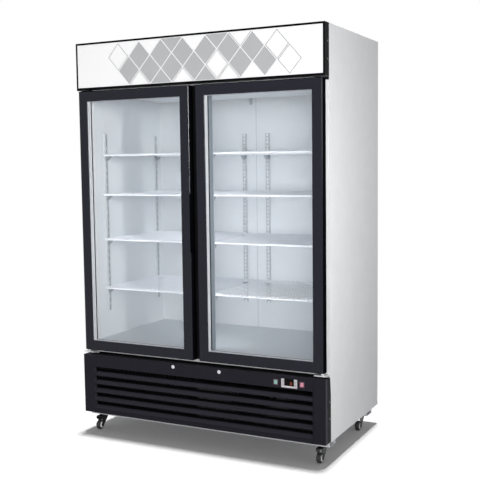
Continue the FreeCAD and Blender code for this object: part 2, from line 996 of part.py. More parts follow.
def controller():
    bezel_front = panel_front - d.controller_lip
    bezel = box(
        "controller_bezel",
        span(controller_x, d.controller_width),
        (bezel_front, panel_front),
        span(d.switch_level, d.controller_height),
    )
    body = box(
        "controller_case",
        span(controller_x, d.controller_body_width),
        (panel_front, panel_front + d.controller_body_depth),
        span(d.switch_level, d.controller_body_height),
    )
    window_xs = span(controller_x, d.window_width)
    window_zs = span(d.switch_level, d.window_height)
    window_back = bezel_front + d.window_depth
    cuts = [box("display_recess", window_xs, (bezel_front - d.overrun, window_back), window_zs)]
    for name, (side, up) in BUTTONS.items():
        place = controller_x + d.button_place * side
        level = d.switch_level + d.button_spread / 2 * up
        well_back = bezel_front + d.button_depth + d.button_seat
        cuts.append(
            box(
                name + "_well",
                span(place, d.button_width + d.button_play * 2),
                (bezel_front - d.overrun, well_back),
                span(level, d.button_height + d.button_play * 2),
            )
        )
        cap = box(
            name + "_cap",
            span(place, d.button_width),
            (bezel_front - d.button_proud, bezel_front + d.button_depth),
            span(level, d.button_height),
        )
        node(name, cap)
    node("temperature_controller", cut("controller", fuse("controller_solid", bezel, body), *cuts))
    node("controller_window", box("display", window_xs, (bezel_front, window_back), window_zs))


# Base frame and casters.

front_rail_ys = (front - d.front_rail_lead, front - d.front_rail_lead + d.rail_width)
rear_rail_ys = (back - d.rear_rail_setback - d.rail_width, back - d.rear_rail_setback)


def rail(name, ys):
    """An upright channel whose open side is closed by the pan above it."""
    gauge = d.rail_gauge
    outline = [
        (ys[0], d.skirt_level),
        (ys[0], d.rail_level),
        (ys[1], d.rail_level),
        (ys[1], d.skirt_level),
        (ys[1] - gauge, d.skirt_level),
        (ys[1] - gauge, d.rail_level + gauge),
        (ys[0] + gauge, d.rail_level + gauge),
        (ys[0] + gauge, d.skirt_level),
    ]
    return prism(name, "yz", [outline], -skin_half, skin_half)


def base_frame():
    pan_ys = (front_rail_ys[0], back - d.sheet)
    pan = box("pan", both(skin_half), pan_ys, (d.skirt_level, pan_top))
    flange = box(
        "pan_flange_right",
        (skin_half - d.pan_gauge, skin_half),
        (front + d.flange_lap, back - d.sheet),
        (d.skirt_level, d.skirt_level + d.pan_flange),
    )
    pieces = [pan, flange, mirrored("pan_flange_left", flange)]
    pieces.append(rail("front_rail", front_rail_ys))
    pieces.append(rail("rear_rail", rear_rail_ys))
    node("base_frame", fuse("chassis", *pieces))


race_bottom = d.rail_level - d.caster_plate_gauge - d.race_height
fork_top = race_bottom - d.fit
caster_x = half - d.caster_inset
caster_places = {
    "front_left": (-caster_x, (front_rail_ys[0] + front_rail_ys[1]) / 2),
    "front_right": (caster_x, (front_rail_ys[0] + front_rail_ys[1]) / 2),
    "rear_left": (-caster_x, (rear_rail_ys[0] + rear_rail_ys[1]) / 2),
    "rear_right": (caster_x, (rear_rail_ys[0] + rear_rail_ys[1]) / 2),
}


def caster_plate():
    side = both(d.caster_plate_side / 2)
    plate = box("swivel_plate", side, side, (d.rail_level - d.caster_plate_gauge, d.rail_level))
    race = cylinder("swivel_race", "z", (0, 0, race_bottom), d.race_radius, d.race_height)
    pin = cylinder(
        "kingpin",
        "z",
        (0, 0, race_bottom - d.kingpin_length),
        d.kingpin_radius,
        d.kingpin_length + d.race_height,
    )
    return fuse("swivel", plate, race, pin)


def caster_fork():
    """A pressed fork: a broad crown under the race and two legs that narrow to the axle."""
    bridge_half = d.fork_gap / 2 + d.fork_gauge
    bridge = box(
        "fork_bridge",
        both(bridge_half),
        (-d.horn_rear, d.horn_front),
        (fork_top - d.fork_gauge, fork_top),
    )
    leg_side = d.fork_leg_width / 2
    foot = d.wheel_radius - leg_side
    shoulder = fork_top - d.horn_drop
    outline = [
        (-d.horn_rear, fork_top),
        (d.horn_front, fork_top),
        (d.horn_front, shoulder),
        (leg_side - d.caster_trail, d.wheel_radius),
        (leg_side / 2 - d.caster_trail, foot),
        (-leg_side / 2 - d.caster_trail, foot),
        (-leg_side - d.caster_trail, d.wheel_radius),
        (-d.horn_rear, shoulder),
    ]
    leg = prism("fork_leg_right", "yz", [outline], d.fork_gap / 2, bridge_half)
    axle = cylinder(
        "fork_axle",
        "x",
        (-bridge_half, -d.caster_trail, d.wheel_radius),
        d.axle_radius,
        bridge_half * 2,
    )
    bore = cylinder(
        "fork_bore",
        "z",
        (0, 0, fork_top - d.fork_gauge - d.overrun),
        d.kingpin_radius + d.running_fit,
        d.fork_gauge + d.overrun * 2,
    )
    frame = fuse("fork_frame", bridge, leg, mirrored("fork_leg_left", leg))
    return fuse("fork", cut("fork_bored", frame, bore), axle)


def caster_wheel():
    half_width = d.wheel_width / 2
    bore = d.axle_radius + d.running_fit
    shoulder = d.wheel_radius - d.wheel_crown
    outline = [
        (bore, -half_width),
        (shoulder, -half_width),
        (d.wheel_radius, d.wheel_crown - half_width),
        (d.wheel_radius, half_width - d.wheel_crown),
        (shoulder, half_width),
        (bore, half_width),
    ]
    return turned("wheel", outline)


def casters():
    swivel = caster_plate()
    fork = caster_fork()
    wheel = caster_wheel()
    plates = []
    for corner, (x, y) in caster_places.items():
        plates.append(placed(f"{corner}_plate", swivel, x, y))
        node(f"{corner}_caster_fork", placed(f"{corner}_fork", fork, x, y))
        upright = placed(f"{corner}_wheel", wheel, x, y - d.caster_trail, d.wheel_radius, AXIS_TURNS["x"])
        node(f"{corner}_caster_wheel", upright)
    node("caster_plates", group("swivels", *plates))


# Doors. The right one is made and the left one is its mirror image.

door_xs = (d.door_gap / 2, door_edge)
door_zs = (d.door_bottom, door_top)
window_xs = (door_xs[0] + d.door_face, door_xs[1] - d.door_face)
window_zs = (door_zs[0] + d.door_face, door_zs[1] - d.door_face)
seat_xs = (window_xs[0] - d.glass_seat, window_xs[1] + d.glass_seat)
seat_zs = (window_zs[0] - d.glass_seat, window_zs[1] + d.glass_seat)
glass_front = door_front + d.door_lip
pane_fronts = [glass_front + (d.pane + d.spacer) * number for number in range(PANES)]
glass_back = pane_fronts[-1] + d.pane


def door_frame():
    outlines = frame_outlines(door_xs, door_zs, d.door_face)
    ring = prism("door_ring", "xz", outlines, door_front, door_back)
    seat = box("door_glass_seat", seat_xs, (glass_front, glass_back), seat_zs)
    edge = (door_xs[0] - d.overrun, door_xs[0] + d.pull_notch)
    pull_zs = span((d.door_bottom + door_top) / 2 + d.pull_lift, d.pull_length)
    notch = box("pull_notch_cut", edge, (door_front - d.overrun, door_front + d.pull_depth), pull_zs)
    groove = box(
        "pull_groove",
        (edge[0], door_xs[0] + d.pull_reach),
        (door_front + d.pull_setback, door_front + d.pull_depth),
        pull_zs,
    )
    bore_depth = d.pin_depth + d.fit * 2
    lower = cylinder(
        "lower_pin_bore",
        "z",
        (hinge_x, hinge_y, d.door_bottom - d.overrun),
        d.pin_radius + d.running_fit,
        bore_depth + d.overrun,
    )
    upper = cylinder(
        "upper_pin_bore",
        "z",
        (hinge_x, hinge_y, door_top - bore_depth),
        d.pin_radius + d.running_fit,
        bore_depth + d.overrun,
    )
    keep_top = d.lock_level + d.bolt_reach
    keep = lock_sweep("lock_keep", 1, (d.door_bottom, keep_top))
    on_face = lies_at("Y", door_front)
    inside = lies_within(window_xs, window_zs)
    outer = beveled("door_outer_edges", ring, d.door_bevel, lambda edge: on_face(edge) and not inside(edge))
    edges = beveled("door_window_edges", outer, d.lip_bevel, lambda edge: on_face(edge) and inside(edge))
    return cut("door_frame_solid", edges, seat, notch, groove, lower, upper, keep)


def doors():
    panes = []
    for number, pane_front in enumerate(pane_fronts):
        panes.append(box(f"pane_{number}", seat_xs, (pane_front, pane_front + d.pane), seat_zs))
    bars = []
    for number, next_front in enumerate(pane_fronts[1:]):
        ring = frame_outlines(seat_xs, seat_zs, d.glass_seat)
        bars.append(prism(f"spacer_bar_{number}", "xz", ring, next_front - d.spacer, next_front))
    gasket_xs = (door_xs[0] + d.gasket_inset, door_xs[1] - d.gasket_inset)
    gasket_zs = (door_zs[0] + d.gasket_inset, door_zs[1] - d.gasket_inset)
    outlines = frame_outlines(gasket_xs, gasket_zs, d.gasket_width)
    gasket = prism("gasket_ring", "xz", outlines, door_back, front - d.fit)
    glass = group("panes", *panes)
    spacer = group("spacer_bars", *bars)
    pieces = {"frame": door_frame(), "glass": glass, "spacer": spacer, "gasket": gasket}
    for name, piece in pieces.items():
        node(f"right_door_{name}", piece)
        node(f"left_door_{name}", mirrored(f"left_{name}", piece))


def hinge_brackets():
    xs = (half - d.bracket_margin - d.bracket_width, half - d.bracket_margin)
    plate_ys = (hinge_y - d.bracket_lead, front)
    top = d.bracket_level
    plate = box("lower_plate", xs, plate_ys, (top - d.bracket_gauge, top))
    leg = box("lower_leg", xs, (front - d.bracket_gauge, front), (d.deck_level, top))
    place = (hinge_x, hinge_y, top)
    pin = cylinder("lower_pin", "z", place, d.pin_radius, d.door_bottom - top + d.pin_depth)
    collar = cylinder("lower_collar", "z", place, d.collar_radius, d.door_bottom - d.fit - top)
    bolts = []
    for label, side in (("inner", -1), ("outer", 1)):
        middle = (xs[0] + xs[1]) / 2 + d.bolt_spacing / 2 * side
        bolt_zs = (top - d.bracket_gauge - d.bolt_height, top - d.bracket_gauge)
        bolts.append(six_sided(f"bracket_bolt_{label}", "xy", (middle, hinge_y), d.bolt_radius, *bolt_zs))
    lower = fuse("lower_bracket", plate, leg, pin, collar, *bolts)
    roof = header_bottom
    upper_plate = box("upper_plate", xs, plate_ys, (roof - d.bracket_gauge, roof))
    upper_leg = box(
        "upper_leg",
        (xs[1] - d.upper_leg_width, xs[1]),
        (front - d.bracket_gauge, front),
        (roof - d.bracket_leg, roof),
    )
    upper_pin = cylinder(
        "upper_pin",
        "z",
        (hinge_x, hinge_y, door_top - d.pin_depth),
        d.pin_radius,
        roof - door_top + d.pin_depth,
    )
    upper = fuse("upper_bracket", upper_plate, upper_leg, upper_pin)
    pieces = [lower, upper, mirrored("lower_bracket_left", lower), mirrored("upper_bracket_left", upper)]
    node("hinge_brackets", group("brackets", *pieces))


# Pilasters, clips and shelves.

def pilaster():
    """A folded strip with a row of slots, its back at the origin and its face toward +Y."""
    side = d.pilaster_width / 2
    gauge = d.pilaster_gauge
    outline = [
        (-side, 0),
        (-side, d.pilaster_depth),
        (side, d.pilaster_depth),
        (side, 0),
        (side - gauge, 0),
        (side - gauge, d.pilaster_depth - gauge),
        (gauge - side, d.pilaster_depth - gauge),
        (gauge - side, 0),
    ]
    strip = prism("pilaster_strip", "xy", [outline], pilaster_bottom, pilaster_top)
    slots = []
    for step in range(PILASTER_SLOTS):
        level = pilaster_bottom + (pilaster_top - pilaster_bottom) * (step + 1) / (PILASTER_SLOTS + 1)
        slots.append(
            box(
                f"pilaster_slot_{step}",
                both(d.pilaster_slot_width / 2),
                (d.pilaster_depth - gauge - d.overrun, d.pilaster_depth + d.overrun),
                span(level, d.pilaster_slot_height),
            )
        )
    return cut("pilaster", strip, *slots)


LEFTWARD = Rotation(Vector(0, 0, 1), 90)
RIGHTWARD = Rotation(Vector(0, 0, 1), -90)
FORWARD = Rotation(Vector(0, 0, 1), 180)
pilaster_places = {
    "wall_front": (inner_half, pilaster_front_y, LEFTWARD),
    "wall_rear": (inner_half, pilaster_rear_y, LEFTWARD),
    "back": (d.rear_pilaster_place, inner_back, FORWARD),
    "mullion": (d.mullion_pilaster_place, mullion_back, None),
}


def clip():
    """A hook that hangs on a pilaster's face and holds a shelf up from below."""
    face = d.pilaster_depth
    gauge = d.clip_gauge
    outline = [
        (face, -d.clip_height),
        (face, 0),
        (face + d.clip_reach, 0),
        (face + d.clip_reach, -gauge),
        (face + gauge, -d.clip_height),
    ]
    return prism("clip", "yz", [outline], -d.clip_width / 2, d.clip_width / 2)


def shelf_supports():
    strip = pilaster()
    hook = clip()
    strips = []
    hooks = []
    for place, (x, y, turn) in pilaster_places.items():
        right = placed(f"{place}_pilaster_right", strip, x, y, turn=turn)
        strips += [right, mirrored(f"{place}_pilaster_left", right)]
        for name, level in shelf_levels.items():
            z = level - d.shelf_wire - d.shelf_rod
            hung = placed(f"{place}_clip_{name}_right", hook, x, y, z, turn=turn)
            hooks += [hung, mirrored(f"{place}_clip_{name}_left", hung)]
    node("shelf_pilasters", group("pilasters", *strips))
    node("shelf_clips", group("clips", *hooks))


shelf_ys = (front + d.shelf_lead, inner_back - d.shelf_rear_gap)


def shelf():
    """A welded wire shelf for the right bay, its upper side at the height zero."""
    xs = (d.shelf_center_gap, inner_half - d.shelf_wall_gap)
    rod = d.shelf_rod / 2
    thin = d.shelf_wire / 2
    rod_ys = (
        shelf_ys[0] + rod,
        pilaster_front_y,
        pilaster_rear_y,
        shelf_ys[1] - rod,
    )
    rod_level = -d.shelf_wire - rod
    rods = []
    for index, y in enumerate(rod_ys):
        rods.append(six_sided(f"shelf_rod_{index}", "yz", (y, rod_level), rod, *xs))
    run = xs[1] - xs[0] - d.shelf_wire
    count = round(run.value / d.shelf_wire_pitch.value)
    wires = []
    for index in range(count + 1):
        x = xs[0] + thin + run / count * index
        wires.append(six_sided(f"shelf_wire_{index}", "xz", (x, -thin), thin, *shelf_ys))
    return fuse("shelf", *rods, *wires)


def shelves():
    grid = shelf()
    rights = []
    lefts = []
    for name, level in shelf_levels.items():
        right = placed(f"shelf_{name}_right", grid, z=level)
        rights.append(right)
        lefts.append(mirrored(f"shelf_{name}_left", right))
    node("right_shelves", group("shelf_set_right", *rights))
    node("left_shelves", group("shelf_set_left", *lefts))


# Refrigeration.

def finned_block(name, xs, ys, zs):
    """A coil core with fins cut into both its faces and plates at its ends."""
    core = box(name + "_core", xs, ys, zs)
    count = round((xs[1].value - xs[0].value) / d.fin_pitch.value)
    step = (xs[1] - xs[0]) / count
    gaps = []
    for index in range(count):
        gap_xs = span(xs[0] + step * index + step / 2, d.fin_gap)
        gap_zs = (zs[0] - d.overrun, zs[1] + d.overrun)
        front_ys = (ys[0] - d.overrun, ys[0] + d.fin_depth)
        rear_ys = (ys[1] - d.fin_depth, ys[1] + d.overrun)
        gaps.append(box(f"{name}_gap_{index}_front", gap_xs, front_ys, gap_zs))
        gaps.append(box(f"{name}_gap_{index}_rear", gap_xs, rear_ys, gap_zs))
    return cut(name, core, *gaps)


condenser_ys = (
    front + d.condenser_lead,
    front + d.condenser_lead + d.condenser_depth,
)
condenser_zs = (pan_top, pan_top + d.condenser_height)
shroud_ys = (condenser_ys[1], condenser_ys[1] + d.shroud_depth)
condenser_fan_place = (condenser_x, (condenser_zs[0] + condenser_zs[1]) / 2)
motor_front = shroud_ys[1] + d.fan_clearance


def fan_motor(name, x, y, z):
    """A round motor whose front face is at y and whose shaft points forward."""
    body = cylinder(name + "_case", "y", (x, y, z), d.motor_radius, d.motor_length)
    shaft = cylinder(name + "_shaft", "y", (x, y - d.shaft_length, z), d.shaft_radius, d.shaft_length)
    return fuse(name, body, shaft)


def fan(name, radius):
    """A hub with twisted blades about the Y axis, its rear face at the origin."""
    hub = cylinder(name + "_hub", "y", (0, -d.fan_depth, 0), d.fan_hub_radius, d.fan_depth)
    bore = cylinder(
        name + "_bore",
        "y",
        (0, -d.fan_depth - d.overrun, 0),
        d.shaft_radius + d.running_fit,
        d.fan_depth + d.overrun * 2,
    )
    flat = box(
        name + "_blank",
        both(d.fan_blade_width / 2),
        both(d.fan_blade_gauge / 2),
        (d.fan_hub_radius / 2, radius),
    )
    pitch = Rotation(Vector(0, 0, 1), d.fan_pitch_angle.value)
    blades = []
    for index in range(FAN_BLADES):
        turn = Rotation(Vector(0, 1, 0), 360 * index / FAN_BLADES) * pitch
        blades.append(placed(f"{name}_blade_{index}", flat, y=-d.fan_depth / 2, turn=turn))
    disc = cylinder(name + "_disc", "y", (0, -d.fan_depth, 0), radius, d.fan_depth)
    trimmed = doc.addObject("Part::Common", name + "_trimmed")
    trimmed.Base = fuse(name + "_blades", *blades)
    trimmed.Tool = disc
    return cut(name, fuse(name + "_solid", hub, trimmed), bore)


def condenser():
    xs = span(condenser_x, d.condenser_width)
    node("condenser_coil", finned_block("condenser", xs, condenser_ys, condenser_zs))
    x, z = condenser_fan_place
    plate = box("shroud_plate", xs, shroud_ys, condenser_zs)
    hollow = box(
        "shroud_hollow",
        (xs[0] + d.shroud_gauge, xs[1] - d.shroud_gauge),
        (shroud_ys[0] - d.overrun, shroud_ys[1] - d.shroud_gauge),
        (condenser_zs[0] + d.shroud_gauge, condenser_zs[1] - d.shroud_gauge),
    )
    throat = cylinder(
        "shroud_throat",
        "y",
        (x, shroud_ys[0], z),
        d.condenser_fan_radius + d.fan_clearance,
        d.shroud_depth + d.overrun,
    )
    shell = cut("shroud_shell", plate, hollow, throat)
    cradle_ys = (shroud_ys[1], motor_front + d.motor_length)
    arms = []
    for label, side in (("left", -1), ("right", 1)):
        arms.append(
            box(
                f"motor_arm_{label}",
                span(x + (d.condenser_fan_radius + d.motor_arm) * side, d.motor_arm),
                cradle_ys,
                span(z, d.motor_arm),
            )
        )
    reach = d.condenser_fan_radius + d.motor_arm
    cross = box(
        "motor_cross",
        (x - reach, x + reach),
        (cradle_ys[1], cradle_ys[1] + d.motor_arm / 2),
        span(z, d.motor_arm),
    )
    node("condenser_fan_shroud", fuse("shroud", shell, cross, *arms))


def fans_and_motors():
    x, z = condenser_fan_place
    motors = [fan_motor("condenser_motor", x, motor_front, z)]
    blades = fan("condenser_blades", d.condenser_fan_radius)
    node("condenser_fan", placed("condenser_fan_piece", blades, x, motor_front - d.fan_clearance, z))
    small = fan("evaporator_blades", d.evaporator_fan_radius)
    motor_y = housing_front + d.fan_depth + d.fan_clearance
    for label, side in (("left", -1), ("right", 1)):
        place = d.evaporator_fan_place * side
        motors.append(fan_motor(f"{label}_evaporator_motor", place, motor_y, evaporator_fan_z))
        hung = placed(
            f"{label}_evaporator_fan_piece",
            small,
            place,
            motor_y - d.fan_clearance / 2,
            evaporator_fan_z,
        )
        node(f"{label}_evaporator_fan", hung)
    node("fan_motors", group("motors", *motors))


def compressor():
    radius = d.compressor_radius
    top = d.compressor_height
    shoulder_share, dome_share, crown_share = 0.8, 0.2, 0.4
    outline = [
        (0, d.compressor_foot),
        (radius * shoulder_share, d.compressor_foot),
        (radius, d.compressor_foot + d.compressor_round),
        (radius, top * (1 - dome_share)),
        (radius * shoulder_share, top - d.compressor_round),
        (radius * crown_share, top),
        (0, top),
    ]
    shell = turned("compressor_shell", outline)
    side = d.compressor_base / 2
    base = box(
        "compressor_plate",
        both(side),
        both(side * shoulder_share),
        (d.compressor_foot - d.compressor_base_gauge, d.compressor_foot),
    )
    feet = []
    for index, (left, rear) in enumerate(((-1, -1), (1, -1), (-1, 1), (1, 1))):
        spot = ((side - d.foot_radius) * left, (side * shoulder_share - d.foot_radius) * rear)
        feet.append(six_sided(f"compressor_foot_{index}", "xy", spot, d.foot_radius, 0, d.compressor_foot))
    solid = fuse("compressor_solid", shell, base, *feet)
    place = (d.compressor_place, back - d.compressor_setback, pan_top)
    node("compressor", placed("compressor_unit", solid, *place))


def drain_pan():
    xs = span(half - d.drain_pan_inset, d.drain_pan_width)
    ys = span(back - d.drain_pan_setback, d.drain_pan_depth)
    zs = (pan_top, pan_top + d.drain_pan_height)
    wall = d.drain_pan_wall
    tray = box("drain_tray", xs, ys, zs)
    hollow = box(
        "drain_hollow",
        (xs[0] + wall, xs[1] - wall),
        (ys[0] + wall, ys[1] - wall),
        (zs[0] + wall, zs[1] + d.overrun),
    )
    node("drain_pan", cut("drain", tray, hollow))


def pipe_run(name, points):
    """A pipe through a row of corners, with a ball at each bend."""
    pieces = []
    for index, (start, end) in enumerate(zip(points, points[1:])):
        axis = next(letter for letter, a, b in zip("xyz", start, end) if abs(a.value - b.value) > d.fit.value)
        number = "xyz".index(axis)
        low, high = (start, end) if start[number].value < end[number].value else (end, start)
        pieces.append(cylinder(f"{name}_run_{index}", axis, low, d.pipe_radius, high[number] - low[number]))
        if index:
            bend = doc.addObject("Part::Sphere", f"{name}_bend_{index}")
            bind(bend, Radius=d.pipe_radius)
            pieces.append(move(bend, *start))
    return fuse(name, *pieces) if len(pieces) > 1 else pieces[0]


def refrigerant_lines():
    x = d.compressor_place
    y = back - d.compressor_setback
    crown = pan_top + d.compressor_height
    coil_top = condenser_zs[1]
    coil_x = condenser_x + d.condenser_width / 2 - d.pipe_inset
    coil_y = (condenser_ys[0] + condenser_ys[1]) / 2
    high = crown + d.pipe_height
    aside = x - d.pipe_offset
    corners = [
        (aside, y, crown),
        (aside, y, high),
        (coil_x, y, high),
        (coil_x, coil_y, high),
        (coil_x, coil_y, coil_top),
    ]
    discharge = pipe_run("discharge_line", corners)
    suction_x = x + d.pipe_offset
    suction = pipe_run("suction_line", [(suction_x, y, crown), (suction_x, y, d.foam_bottom)])
    node("refrigerant_lines", group("lines", discharge, suction))


def evaporator():
    zs = (ceiling - d.evaporator_height, ceiling)
    coil_back = inner_back - d.evaporator_gap
    ys = (coil_back - d.evaporator_depth, coil_back)
    node("evaporator_coil", finned_block("evaporator", both(housing_half - d.evaporator_side_gap), ys, zs))
    tail = inner_back - d.housing_rear_gap
    gauge = d.housing_gauge
    outer = [
        (housing_front, ceiling),
        (housing_front, housing_bottom + d.housing_slope),
        (housing_front + d.housing_slope, housing_bottom + d.housing_slope / 2),
        (tail, housing_bottom),
        (tail, housing_bottom + gauge),
        (housing_front + d.housing_slope, housing_bottom + d.housing_slope / 2 + gauge),
        (housing_front + gauge, housing_bottom + d.housing_slope),
        (housing_front + gauge, ceiling),
    ]
    skin = prism("housing_skin", "yz", [outer], -housing_half, housing_half)
    cheek_outline = outer[:4] + [(tail, ceiling)]
    cheek = prism(
        "housing_cheek",
        "yz",
        [cheek_outline],
        housing_half - gauge,
        housing_half,
    )
    pieces = [skin, cheek, mirrored("housing_cheek_left", cheek)]
    motor_y = housing_front + d.fan_depth + d.fan_clearance
    throats = []
    hangers = []
    for label, side in (("left", -1), ("right", 1)):
        place = d.evaporator_fan_place * side
        hanger = box(
            f"{label}_motor_hanger",
            span(place, d.motor_arm),
            (motor_y + d.motor_arm, motor_y + d.motor_arm * 2),
            (evaporator_fan_z + d.motor_radius, ceiling),
        )
        hangers.append(hanger)
        throats.append(
            cylinder(
                f"{label}_fan_throat",
                "y",
                (place, housing_front - d.overrun, evaporator_fan_z),
                d.evaporator_fan_radius + d.fan_clearance,
                gauge + d.overrun * 2,
            )
        )
    shell = cut("housing_shell", fuse("housing_solid", *pieces), *throats)
    node("evaporator_housing", group("housing", shell, *hangers))


def build():
    side_panels()
    top_panel()
    rear_panel()
    rear_grille()
    insulation()
    inner_liner()
    front_frame()
    center_mullion()
    header()
    lamp_strips()
    base_grille()
    grille_end_caps()
    locks()
    switches()
    controller()
    base_frame()
    casters()
    doors()
    hinge_brackets()
    shelf_supports()
    shelves()
    condenser()
    fans_and_motors()
    compressor()
    drain_pan()
    refrigerant_lines()
    evaporator()
    doc.recompute()


def write():
    for item in doc.Objects:
        if "Invalid" in item.State or "Error" in item.State:
            raise RuntimeError(f"{item.Name} could not be made")
    os.makedirs("parts", exist_ok=True)
    for label, item in nodes.items():
        if item.Shape.isNull() or not item.Shape.isValid():
            raise RuntimeError(f"{label} is not a valid shape")
        item.Shape.exportStep(f"parts/{label}.step")


build()
write()
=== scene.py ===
import json
import math

import bmesh
import bpy
from mathutils import Matrix, Vector

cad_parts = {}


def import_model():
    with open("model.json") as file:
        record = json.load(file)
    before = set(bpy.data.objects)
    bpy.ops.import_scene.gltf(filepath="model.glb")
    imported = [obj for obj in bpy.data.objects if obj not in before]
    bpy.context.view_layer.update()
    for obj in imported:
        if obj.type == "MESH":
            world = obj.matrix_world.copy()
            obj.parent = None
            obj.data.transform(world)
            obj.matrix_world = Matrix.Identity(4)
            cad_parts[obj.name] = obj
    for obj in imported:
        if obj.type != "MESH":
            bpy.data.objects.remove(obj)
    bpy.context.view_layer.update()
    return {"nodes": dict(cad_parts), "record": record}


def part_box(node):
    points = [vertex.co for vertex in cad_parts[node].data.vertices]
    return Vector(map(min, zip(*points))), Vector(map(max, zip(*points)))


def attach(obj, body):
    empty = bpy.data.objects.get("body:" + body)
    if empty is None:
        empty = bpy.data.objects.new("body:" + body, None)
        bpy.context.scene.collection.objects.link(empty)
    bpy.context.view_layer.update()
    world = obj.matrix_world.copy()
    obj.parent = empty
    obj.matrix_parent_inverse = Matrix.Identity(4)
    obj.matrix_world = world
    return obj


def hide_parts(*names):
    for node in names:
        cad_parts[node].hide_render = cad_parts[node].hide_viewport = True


# Looks of a two-door glass display freezer, in metres, in the frame of the solids.

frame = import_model()
nodes = frame["nodes"]
MM = 0.001
CABINET = "cabinet"
SIDES = {"left": -1, "right": 1}
QUARTER = math.pi / 2
# Driving dimensions of the freezer, in millimetres. First, heights above the floor.
TRAY_TOP = 105.5
BAY_TOP = 442
FLOOR_LEVEL = 492
MID_HEIGHT = 1100
SHELF_LEVELS = (769.84, 1033.7, 1273.65, 1483.97)
# Planes, from the front to the rear.
BLADE_FRONT = -389
BLADE_DEPTH = 21
DOOR_EDGE = -384.5
FRONT_PLANE = -332
BAY_FRONT = -311
BACK_WALL = 330
REAR_SKIN = 392
STRIP_SETBACKS = (110, 58)
FRONT_STRIP = FRONT_PLANE + STRIP_SETBACKS[0]
REAR_STRIP = BACK_WALL - STRIP_SETBACKS[1]
# Places on both sides of the middle, widths and pitches.
BACK_STRIPS = 72
WALL_STRIPS = 500
WALL_STRIP_BAND = 400
# Width of the band painted down the strips: bright bars of painted light on the back wall, a grey line of
# painted shade on the side walls. SLOT_PITCH and SLOT_SHARE space the bright bars.
PAINTED_SLOT_BAND = 9
SLOT_PITCH = 20.5
SLOT_SHARE = 0.5
LINER_SEAM = 2.4
SIDE_SKIN = 690.3
CLEARANCE = 1
# Vertices closer than this are one, in metres.
MERGE = 0.01 * MM


def linear(code):
    """A colour as written, such as "#8A9BA0", in the linear values that shaders use."""
    parts = [int(code[start:start + 2], 16) / 255 for start in (1, 3, 5)]
    return tuple(((c + 0.055) / 1.055) ** 2.4 if c > 0.04045 else c / 12.92 for c in parts) + (1.0,)


def add(tree, kind, inputs=None, **settings):
    """Adds a node with its settings, and sets or links its inputs."""
    node = tree.nodes.new(kind)
    for name, value in settings.items():
        setattr(node, name, value)
    for name, value in (inputs or {}).items():
        socket = node.inputs[name]
        if isinstance(value, bpy.types.NodeSocket):
            tree.links.new(value, socket)
        else:
            socket.default_value = value
    return node


def blank_material(name):
    """A new material without nodes, and its tree."""
    material = bpy.data.materials.new(name)
    material.use_nodes = True
    material.node_tree.nodes.clear()
    return material, material.node_tree


def per_metre(size):
    """The noise scale that gives patches of about one size, in metres."""
    return 1 / size


def past(axis, place, blend=1):
    """A mask that turns from nought to one where a coordinate passes a place, in millimetres."""
    def mask(tree, point):
        along = add(tree, "ShaderNodeSeparateXYZ", {0: point}).outputs[axis]
        step = add(tree, "ShaderNodeMapRange", {"Value": along, "From Min": (place - blend / 2) * MM,
                                                "From Max": (place + blend / 2) * MM})
        return step.outputs[0]
    return mask


def below(axis, place, blend=1):
    """A mask that is one where a coordinate stays under a place, in millimetres."""
    def mask(tree, point):
        return add(tree, "ShaderNodeMath", {0: 1.0, 1: past(axis, place, blend)(tree, point)},
                   operation="SUBTRACT").outputs[0]
    return mask


def rows(axis, start, pitch, share):
    """A mask of equal bars along an axis, each of them a share of the pitch. Lengths are in millimetres."""
    def mask(tree, point):
        along = add(tree, "ShaderNodeSeparateXYZ", {0: point}).outputs[axis]
        moved = add(tree, "ShaderNodeMath", {0: along, 1: start * MM}, operation="SUBTRACT").outputs[0]
        turns = add(tree, "ShaderNodeMath", {0: moved, 1: pitch * MM}, operation="DIVIDE").outputs[0]
        phase = add(tree, "ShaderNodeMath", {0: turns}, operation="FRACT").outputs[0]
        return add(tree, "ShaderNodeMath", {0: phase, 1: share}, operation="LESS_THAN").outputs[0]
    return mask


def within(axis, place, width):
    """A mask that is one in a band of a width about a place on both sides of the middle, in millimetres."""
    def mask(tree, point):
        along = add(tree, "ShaderNodeSeparateXYZ", {0: point}).outputs[axis]
        size = add(tree, "ShaderNodeMath", {0: along}, operation="ABSOLUTE").outputs[0]
        return add(tree, "ShaderNodeMath", {0: size, 1: place * MM, 2: width / 2 * MM},
                   operation="COMPARE").outputs[0]
    return mask


def both(one, two):
    """A mask that is one where two masks are."""
    def mask(tree, point):
        return add(tree, "ShaderNodeMath", {0: one(tree, point), 1: two(tree, point)},
                   operation="MULTIPLY").outputs[0]
    return mask


# Noise values at which a patch has reached its shade, its colour and its rougher gloss.
SHADE_UNDER, COLOUR_OVER, ROUGH_OVER = 0.3, 0.62, 0.7
GRAIN_STRENGTH = 0.5


